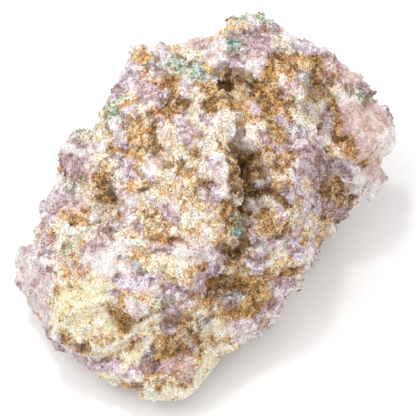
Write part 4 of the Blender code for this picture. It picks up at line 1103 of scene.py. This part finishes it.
def placed_blocks(body, models, rng):
    """The big blocks set into the body where the photograph shows them, as rock_lumps gives
    its lumps."""
    points, normals = points_of(body), spread(body, normals_of(body), times=50)
    faces = faces_of(body)
    tree = bvhtree.BVHTree.FromPolygons(points.tolist(), faces)
    centres, frames, sizes = [], [], []
    for across, up, length, width, turn, rise in BLOCKS:
        aim = (LOOKED_AT + across * RIGHT + up * UP - EYE).normalized()
        spot, _, face, _ = tree.ray_cast(EYE, aim)
        if spot is None:
            continue
        outward = Vector(normals[faces[face][0]]).normalized() + BLOCK_LEAN * BACK
        outward.normalize()
        along = math.cos(math.radians(turn)) * RIGHT + math.sin(math.radians(turn)) * UP
        along = (along - along.dot(outward) * outward).normalized()
        thick = min(BLOCK_THICKNESS * min(length, width) + BLOCK_EXTRA, THICKEST_BLOCK) + rise
        centres.append(spot + outward * (rise - BLOCK_SUNK * thick))
        frames.append(Matrix((along, outward.cross(along), outward)).transposed())
        sizes.append((BLOCK_START * length, BLOCK_START * width, thick))
    centres = np.array(centres)
    return *copies(models, centres, np.array(frames), np.array(sizes), rng), centres


def rock_lumps(body, models, spacing_share, size_share, rng):
    """Lumps of every mineral set into the body: their points, faces, the lump of each point, and
    the middles of the lumps."""
    points, normals = points_of(body), spread(body, normals_of(body), times=3)
    normals /= np.linalg.norm(normals, axis=1)[:, None]
    minerals = minerals_at(points, normals)
    low, high = lump_trait(minerals, "smallest"), lump_trait(minerals, "largest")
    size = size_share * (low + (high - low) * rng.random(len(points)) ** SMALL_LUMPS)
    kept = spaced_out(points, spacing_share * size, rng)
    left_out = LUMPS_OFF_BLOCKS * on_blocks(points[kept], normals[kept])
    kept = kept[rng.random(len(kept)) > left_out]
    size, minerals, count = size[kept], minerals[kept], len(kept)
    lean = (LUMP_LEAN / (1 + LEAN_LOST_WITH_SIZE * size))[:, None] * rng.normal(size=(count, 3))
    frames = frames_along(normals[kept] + lean, rng)
    length, width = rng.uniform(*SIDES_VARY, count), rng.uniform(*SIDES_VARY, count)
    height = lump_trait(minerals, "flat") * rng.uniform(*SIDES_VARY, count)
    sizes = size[:, None] * np.stack([length, width, height], axis=1)
    rise = (lump_trait(minerals, "rise") - 0.5) * sizes[:, 2] * rng.uniform(*RISE_VARIES, count)
    on_outline = np.clip(1 - np.abs(normals[kept] @ np.array(BACK)) / EDGE_ON, 0, 1)
    rise -= SUNK_EDGE_ON * on_outline * sizes[:, 2]
    centres = points[kept] + normals[kept] * rise[:, None]
    return *copies(models, centres, frames, sizes, rng), centres


def keep_in_one(piece):
    """Deletes the crumbs that don't hang together with the rest of a piece."""
    far_out = int(np.argmax(points_of(piece)[:, 0]))
    select_only(piece)
    bpy.ops.object.mode_set(mode="EDIT")
    bpy.ops.mesh.select_all(action="DESELECT")
    mesh = bmesh.from_edit_mesh(piece.data)
    mesh.verts.ensure_lookup_table()
    mesh.verts[far_out].select_set(True)
    bmesh.update_edit_mesh(piece.data)
    bpy.ops.mesh.select_linked()
    bpy.ops.mesh.select_all(action="INVERT")
    bpy.ops.mesh.delete(type="VERT")
    bpy.ops.object.mode_set(mode="OBJECT")


def weathered(rock, here, normals):
    """The points of the fused rock once it is weathered, broken into faces and sugary."""
    minerals = minerals_at(here, normals)
    traits = [habit(minerals, trait) for trait in ("sugary", "smoothed", "broken")]
    sugary, smoothed, broken = spread(rock, np.stack(traits, axis=1), times=2).T
    here = here + smoothed[:, None] * (spread(rock, here, times=14) - here)
    inside, _ = sugary_grains(here, SUGARY_GRAIN)
    relief = GRAIN_HEIGHT * (np.minimum(inside, GRAIN_TOP) - GRAIN_MIDDLE)
    relief = relief + 0.7 * drift(here, size=0.7, salt=521)
    relief = relief + 0.35 * drift(here, size=0.42, salt=531)
    breaks = BROAD_BREAK * broad_faces(here, facets) + SMALL_BREAK * small_faces(here, facets)
    blocky = spread(rock, on_blocks(here, normals), times=3)[:, 0]
    broken = broken * (1 - BREAKS_OFF_BLOCKS * blocky)
    here = here + normals * (sugary * relief + broken * breaks)[:, None]
    height = here[:, 2]
    squeezed = SQUEEZED_ABOVE + SQUEEZE * (height - SQUEEZED_ABOVE)
    here[:, 2] = np.where(height > SQUEEZED_ABOVE, squeezed, np.maximum(height, 0))
    return here


def rock_mass(rng):
    """The whole intergrown stone: its body and lumps fused, then weathered, grained and coloured.
    """
    models = [cleaved_lump(rng, cuts=9, reach=(0.36, 0.6)) for _ in range(6)]
    body = ground()
    slabs = [cleaved_lump(rng, cuts=12, reach=(0.36, 0.54)) for _ in range(12)]
    sets = [placed_blocks(body, slabs, rng)]
    sets += [rock_lumps(body, models, spacing, size, rng) for spacing, size in LUMP_LAYERS]
    block_count = len(sets[0][3])
    parts = [(points_of(body), faces_of(body))]
    owners, count = [np.full(len(body.data.vertices), -1)], 0
    for points, faces, owner, centre in sets:
        parts.append((points, faces))
        owners.append(owner + count)
        count += len(centre)
    bpy.data.objects.remove(body)
    points, faces = joined(parts)
    owners = np.concatenate(owners)
    centres = np.concatenate([centre for *_, centre in sets])

    rock = add_piece("rock_mass", points, faces)
    apply_modifier(rock, "REMESH", mode="VOXEL", voxel_size=ROCK_VOXEL)
    put_points(rock, weathered(rock, points_of(rock), normals_of(rock)))
    apply_modifier(rock, "DECIMATE", ratio=ROCK_TRIANGLES / (2 * len(rock.data.polygons)))
    keep_in_one(rock)

    here = points_of(rock)
    here[:, 2] = np.maximum(here[:, 2], 0)
    put_points(rock, here)
    tree = bvhtree.BVHTree.FromPolygons(points.tolist(), faces)
    owner = np.array([owners[faces[tree.find_nearest(Vector(spot))[2]][0]] for spot in here])
    middle = np.where((owner >= block_count)[:, None], centres[owner], here)
    return rock, colour_rock(rock, here, normals_of(rock), owner, middle)


def grain_minerals(minerals, chance):
    """The mineral of each grain: that of its patch, or one of those mixed into it."""
    grains_are = minerals.copy()
    passed = np.zeros(len(minerals))
    for mixed in range(3):
        other = np.array([NUMBER[MIXED_IN[name][mixed][0]] for name in NAMES])[minerals]
        share = MIXING * np.array([MIXED_IN[name][mixed][1] for name in NAMES])[minerals]
        hit = (chance >= passed) & (chance < passed + share)
        grains_are[hit] = other[hit]
        passed = passed + share
    return grains_are


def colour_rock(rock, here, normals, owner, middle):
    """Paints the rock's minerals, its creases darkened by dirt and painted shade, and its edges
    paled by wear and painted highlight.
    """
    patches = minerals_at(here + TOWARDS_MIDDLE * (middle - here), normals)
    _, cell = sugary_grains(here, COLOUR_GRAIN)
    minerals = grain_minerals(patches, random_in_cells(cell, salt=541))
    lump = np.stack([owner, np.full_like(owner, 3), np.zeros_like(owner)], axis=1)
    broad_inside, broad_face = broad_faces(here, grains)
    small_inside, small_face = small_faces(here, grains)
    face_light = BROAD_FACE_LIGHT * (random_in_cells(broad_face, salt=631) - 0.5)
    face_light = face_light + SMALL_FACE_LIGHT * (random_in_cells(small_face, salt=621) - 0.5)
    light = 1 + LUMP_LIGHT * (random_in_cells(lump, salt=551) - 0.5)
    light = light + GRAIN_LIGHT * (random_in_cells(cell, salt=561) - 0.5)
    light = light + face_light * family_trait(patches, "face light")
    fine = hollowness(rock, here, normals, times=5)
    broad = hollowness(rock, here, normals, times=40)
    patchy = drift(here, size=2.2, salt=571)
    # Creases and hollows darken: partly rusty dirt, partly painted shade where less light reaches.
    dirt_and_shade = np.clip(3.4 * fine + 1.0 * broad + 0.25 * patchy - 0.05, 0, MOST_DIRT_AND_SHADE)
    dirt_and_shade = dirt_and_shade * family_trait(minerals, "dirt_and_shade")
    # Jutting edges are paled: partly wear, partly painted highlight where light catches them.
    wear_and_highlight = np.clip(-2.2 * fine - 0.4 * broad - 0.04, 0, MOST_WEAR_AND_HIGHLIGHT)
    crease = family_trait(minerals, "crease")
    layers = {}
    for number, (layer, toning) in enumerate((("tint", 1.0), ("bright", 0.7), ("dark", 0.7))):
        colours = np.array([TINTS[name][number] for name in NAMES])[minerals] * light[:, None]
        # Dirt and painted shade pull the colours towards the crease colour.
        colours = colours + (crease - colours) * toning * dirt_and_shade[:, None]
        # Wear and painted highlight pull the colours towards paler ones.
        paler = np.minimum(1.0, 0.55 * colours + 0.5)
        colours = colours + (paler - colours) * toning * wear_and_highlight[:, None]
        held_back = HELD_BACK_ABOVE + HELD_BACK_TO * (colours - HELD_BACK_ABOVE)
        layers[layer] = spread(rock, np.minimum(colours, held_back), times=1)
    finish = [habit(minerals, "specks"), habit(minerals, "sugary") * 4, habit(minerals, "rough")]
    layers["finish"] = spread(rock, np.stack(finish, axis=1), times=1)
    layers["seams"] = np.stack([BROAD_FACE * broad_inside, SMALL_FACE * small_inside], axis=1)
    for layer, values in layers.items():
        paint(rock, layer, values)
    return patches, layers, habit(minerals, "sugary") < SUGARY_ENOUGH


def crystals(name, surface, models, rng):
    """Small crystals of some minerals, set into the rock where it is made of them."""
    made = CRYSTAL_SETS[name]
    points, normals, minerals, layers = surface
    wanted = np.flatnonzero(np.isin(minerals, [NUMBER[kind] for kind in made["kinds"]]))
    smallest, largest = made["size"]
    sizes = smallest + (largest - smallest) * rng.random(len(wanted)) ** 2.5
    kept = spaced_out(points[wanted], made["spacing"] * sizes, rng)
    sizes, kept = sizes[kept], wanted[kept]
    count = len(kept)
    frames = frames_along(normals[kept] + made["lean"] * rng.normal(size=(count, 3)), rng)
    length, width = rng.uniform(0.75, 1.25, count), rng.uniform(0.75, 1.25, count)
    height = made["flat"] * rng.uniform(0.7, 1.4, count)
    shape = sizes[:, None] * np.stack([length, width, height], axis=1)
    rise = made["rise"] * sizes * made["flat"] * rng.uniform(0.5, 1.5, count)
    centres = points[kept] + normals[kept] * rise[:, None]
    here, faces, owner = copies(models, centres, frames, shape, rng)
    here[:, 2] = np.maximum(here[:, 2], 0.02)
    piece = add_piece(name, here, faces)
    light = rng.uniform(0.88, 1.14, count)[:, None]
    for layer, values in layers.items():
        shades = values[kept] if layer in ("finish", "seams") else values[kept] * light
        paint(piece, layer, shades[owner])
    return piece


class Reading:
    """A value in a material, worked with like a number."""

    def __init__(self, finish, socket):
        self.finish = finish
        self.socket = socket

    def worked(self, operation, first, second):
        return self.finish.node("ShaderNodeMath", {"operation": operation}, {0: first, 1: second})

    def __add__(self, other):
        return self.worked("ADD", self, other)

    def __radd__(self, other):
        return self.worked("ADD", other, self)

    def __sub__(self, other):
        return self.worked("SUBTRACT", self, other)

    def __rsub__(self, other):
        return self.worked("SUBTRACT", other, self)

    def __mul__(self, other):
        return self.worked("MULTIPLY", self, other)

    def __rmul__(self, other):
        return self.worked("MULTIPLY", other, self)

    def over(self, other):
        return self.worked("GREATER_THAN", self, other)


class Finish:
    """A material made of nodes."""

    def __init__(self, name, **constants):
        self.material = bpy.data.materials.new(name)
        self.material.use_nodes = True
        self.tree = self.material.node_tree
        self.surface = self.tree.nodes["Principled BSDF"]
        for socket, value in constants.items():
            self.surface.inputs[socket.replace("_", " ")].default_value = value

    def node(self, kind, settings, inputs, output=0):
        made = self.tree.nodes.new(kind)
        for setting, value in settings.items():
            setattr(made, setting, value)
        for socket, value in inputs.items():
            if isinstance(value, Reading):
                self.tree.links.new(value.socket, made.inputs[socket])
            else:
                made.inputs[socket].default_value = value
        return Reading(self, made.outputs[output])

    def place(self):
        return self.node("ShaderNodeTexCoord", {}, {}, "Object")

    def stored(self, name):
        return self.node("ShaderNodeAttribute", {"attribute_name": name}, {}, "Color")

    def channel(self, colour, which):
        return self.node("ShaderNodeSeparateColor", {}, {"Color": colour}, which)

    def noise(self, size, detail=2.0):
        inputs = {"Scale": 1 / (size * MM), "Detail": detail, "Roughness": 0.6}
        return self.node("ShaderNodeTexNoise", {}, {"Vector": self.place(), **inputs}, "Fac")

    def cells(self, size, output):
        inputs = {"Vector": self.place(), "Scale": 1 / (size * MM)}
        return self.node("ShaderNodeTexVoronoi", {}, inputs, output)

    def vectors(self, operation, inputs, output="Vector"):
        return self.node("ShaderNodeVectorMath", {"operation": operation}, inputs, output)

    def tilted_faces(self, size):
        """The height of a surface broken into small tilted faces."""
        away = self.vectors("SUBTRACT", {0: self.place(), 1: self.cells(size, "Position")})
        between = self.vectors("SCALE", {0: away, "Scale": 1 / (size * MM)})
        tilt = self.vectors("SUBTRACT", {0: self.cells(size, "Color"), 1: (0.5,) * 3})
        return self.vectors("DOT_PRODUCT", {0: between, 1: tilt}, "Value")

    def blend(self, share, first, second, how="MIX"):
        settings = {"data_type": "RGBA", "blend_type": how, "clamp_result": True}
        return self.node("ShaderNodeMix", settings, {0: share, 6: first, 7: second}, 2)

    def stepped(self, value, low, high):
        inputs = {"Value": value, "From Min": low, "From Max": high}
        return self.node("ShaderNodeMapRange", {}, inputs)

    def grey(self, value):
        return self.node("ShaderNodeCombineColor", {}, {0: value, 1: value, 2: value})

    def bump(self, height, distance):
        return self.node("ShaderNodeBump", {}, {"Height": height, "Distance": distance * MM})

    def feed(self, **links):
        for socket, value in links.items():
            self.tree.links.new(value.socket, self.surface.inputs[socket.replace("_", " ")])


def rock_finish():
    """Broken rock: bright and dark grains among the main ones, dark specks, a sugary surface."""
    finish = Finish("rock", IOR=1.5, Specular_IOR_Level=0.45)
    tint, bright, dark = (finish.stored(layer) for layer in ("tint", "bright", "dark"))
    habits, seams = finish.stored("finish"), finish.stored("seams")
    specks = finish.channel(habits, "Red")
    sugary = finish.channel(habits, "Green")
    rough = finish.channel(habits, "Blue")
    grain = finish.cells(TINY_GRAIN, "Color")
    fine = finish.noise(FINE_GRAIN)

    # Bright and dark grains.
    picked = 1.3 * finish.noise(1.1, detail=5.0)
    picked = picked + (0.25 + sugary) * (finish.channel(grain, "Red") - 0.5) - 0.65
    colour = finish.blend(finish.stepped(picked, 0.13, 0.18), tint, bright)
    colour = finish.blend(finish.stepped(picked, -0.14, -0.19), colour, dark)
    # Dark seams between the broad faces, and pale ones between the small faces, partly pale flake
    # edges and partly painted highlight.
    ragged = 0.7 * finish.noise(0.7, detail=3.0) - 0.35
    broad_seam = finish.stepped(finish.channel(seams, "Red") + ragged, 0.20, 0.06)
    pale_seam_and_highlight = finish.stepped(finish.channel(seams, "Green") + ragged, 0.14, 0.02)
    colour = finish.blend(0.55 * broad_seam, colour, dark)
    colour = finish.blend(0.60 * pale_seam_and_highlight, colour, bright)
    # Every grain is a little lighter or darker, more so where the rock is sugary.
    contrast = 0.4 + 0.7 * finish.stepped(sugary, 0.04, 0.16) + sugary
    light = 1 + contrast * (0.6 * finish.channel(grain, "Green") + 1.6 * fine - 1.1)
    colour = finish.blend(1.0, colour, finish.grey(light), "MULTIPLY")
    # Specks of pale sand and of black ore, in clusters.
    crumb = finish.cells(CRUMB, "Color")
    from_middle = finish.cells(CRUMB, "Distance")
    spot = finish.stepped(from_middle + 0.25 * finish.channel(crumb, "Red"), 0.60, 0.48)
    clustered = 3.0 * finish.noise(2.4, detail=3.0) - 0.3
    dark_ones = (finish.channel(crumb, "Green") + clustered).over(2.55 - 1.5 * specks)
    pale_ones = (finish.channel(crumb, "Blue") + clustered).over(2.50 - 0.9 * specks)
    colour = finish.blend(0.8 * (spot * pale_ones), colour, PALE_SPECK)
    colour = finish.blend(0.85 * (spot * dark_ones), colour, DARK_SPECK)

    height = finish.tilted_faces(TINY_FACE) + 0.5 * fine
    relief = finish.bump(height * (0.25 + 2.0 * sugary), distance=0.16)
    finish.feed(Base_Color=colour, Roughness=rough + 0.3 * fine - 0.15, Normal=relief)
    return finish.material


def set_the_view():
    """The camera at the photograph's angle, a pale floor, and soft studio light."""
    camera = bpy.data.objects.new("camera", bpy.data.cameras.new("camera"))
    bpy.context.collection.objects.link(camera)
    camera.data.lens = 100
    camera.data.sensor_width = 36
    camera.data.clip_start = 0.01
    turned = Matrix((RIGHT, UP, BACK)).transposed().to_4x4()
    camera.matrix_world = Matrix.Translation(EYE * MM) @ turned
    bpy.context.scene.camera = camera

    bpy.ops.object.select_all(action="DESELECT")
    bpy.ops.mesh.primitive_plane_add(size=FLOOR_SIZE)
    floor = bpy.context.object
    floor.name = "floor"
    paper = Finish("pale_paper", Roughness=0.9)
    shade = paper.stepped(paper.noise(30.0), 0.0, 1.0)
    paper.feed(Base_Color=paper.blend(shade, (0.90, 0.90, 0.90, 1), (0.92, 0.92, 0.92, 1)))
    floor.data.materials.append(paper.material)

    world = bpy.data.worlds.new("studio")
    world.use_nodes = True
    world.node_tree.nodes["Background"].inputs["Color"].default_value = (1, 1, 1, 1)
    world.node_tree.nodes["Background"].inputs["Strength"].default_value = WORLD_LIGHT
    bpy.context.scene.world = world
    for name, across, up, back, size, power in SOFT_LIGHTS:
        light = bpy.data.objects.new(name, bpy.data.lights.new(name, "AREA"))
        bpy.context.collection.objects.link(light)
        light.data.size = size
        light.data.energy = power
        direction = (across * RIGHT + up * UP + back * BACK).normalized()
        light.location = LOOKED_AT * MM + direction * LIGHT_DISTANCE
        light.rotation_euler = direction.to_track_quat("Z", "Y").to_euler()
    bpy.context.scene.view_settings.view_transform = "Standard"


def join_to_stone(piece, material, smooth_faces):
    """Brings a piece to metres, gives it its finish and lets it ride on the stone."""
    put_points(piece, points_of(piece) * MM)
    piece.data.materials.append(material)
    piece.data.polygons.foreach_set("use_smooth", smooth_faces)
    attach(piece, "root")


rng = np.random.default_rng(SEED)
set_the_view()
books = [mica_book(rng) for _ in range(5)]
chips = [cleaved_lump(rng, cuts=6, reach=(0.34, 0.55)) for _ in range(6)]
prisms = [crystal_prism(rng) for _ in range(3)]

rock, (minerals, layers, glassy) = rock_mass(rng)
surface = points_of(rock), normals_of(rock), minerals, layers
finish = rock_finish()
join_to_stone(rock, finish, [bool(glassy[list(face)].all()) for face in faces_of(rock)])
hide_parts("lepidolite_specimen")
for name, models in zip(CRYSTAL_SETS, (books, chips, chips, prisms)):
    piece = crystals(name, surface, models, rng)
    join_to_stone(piece, finish, [False] * len(piece.data.polygons))
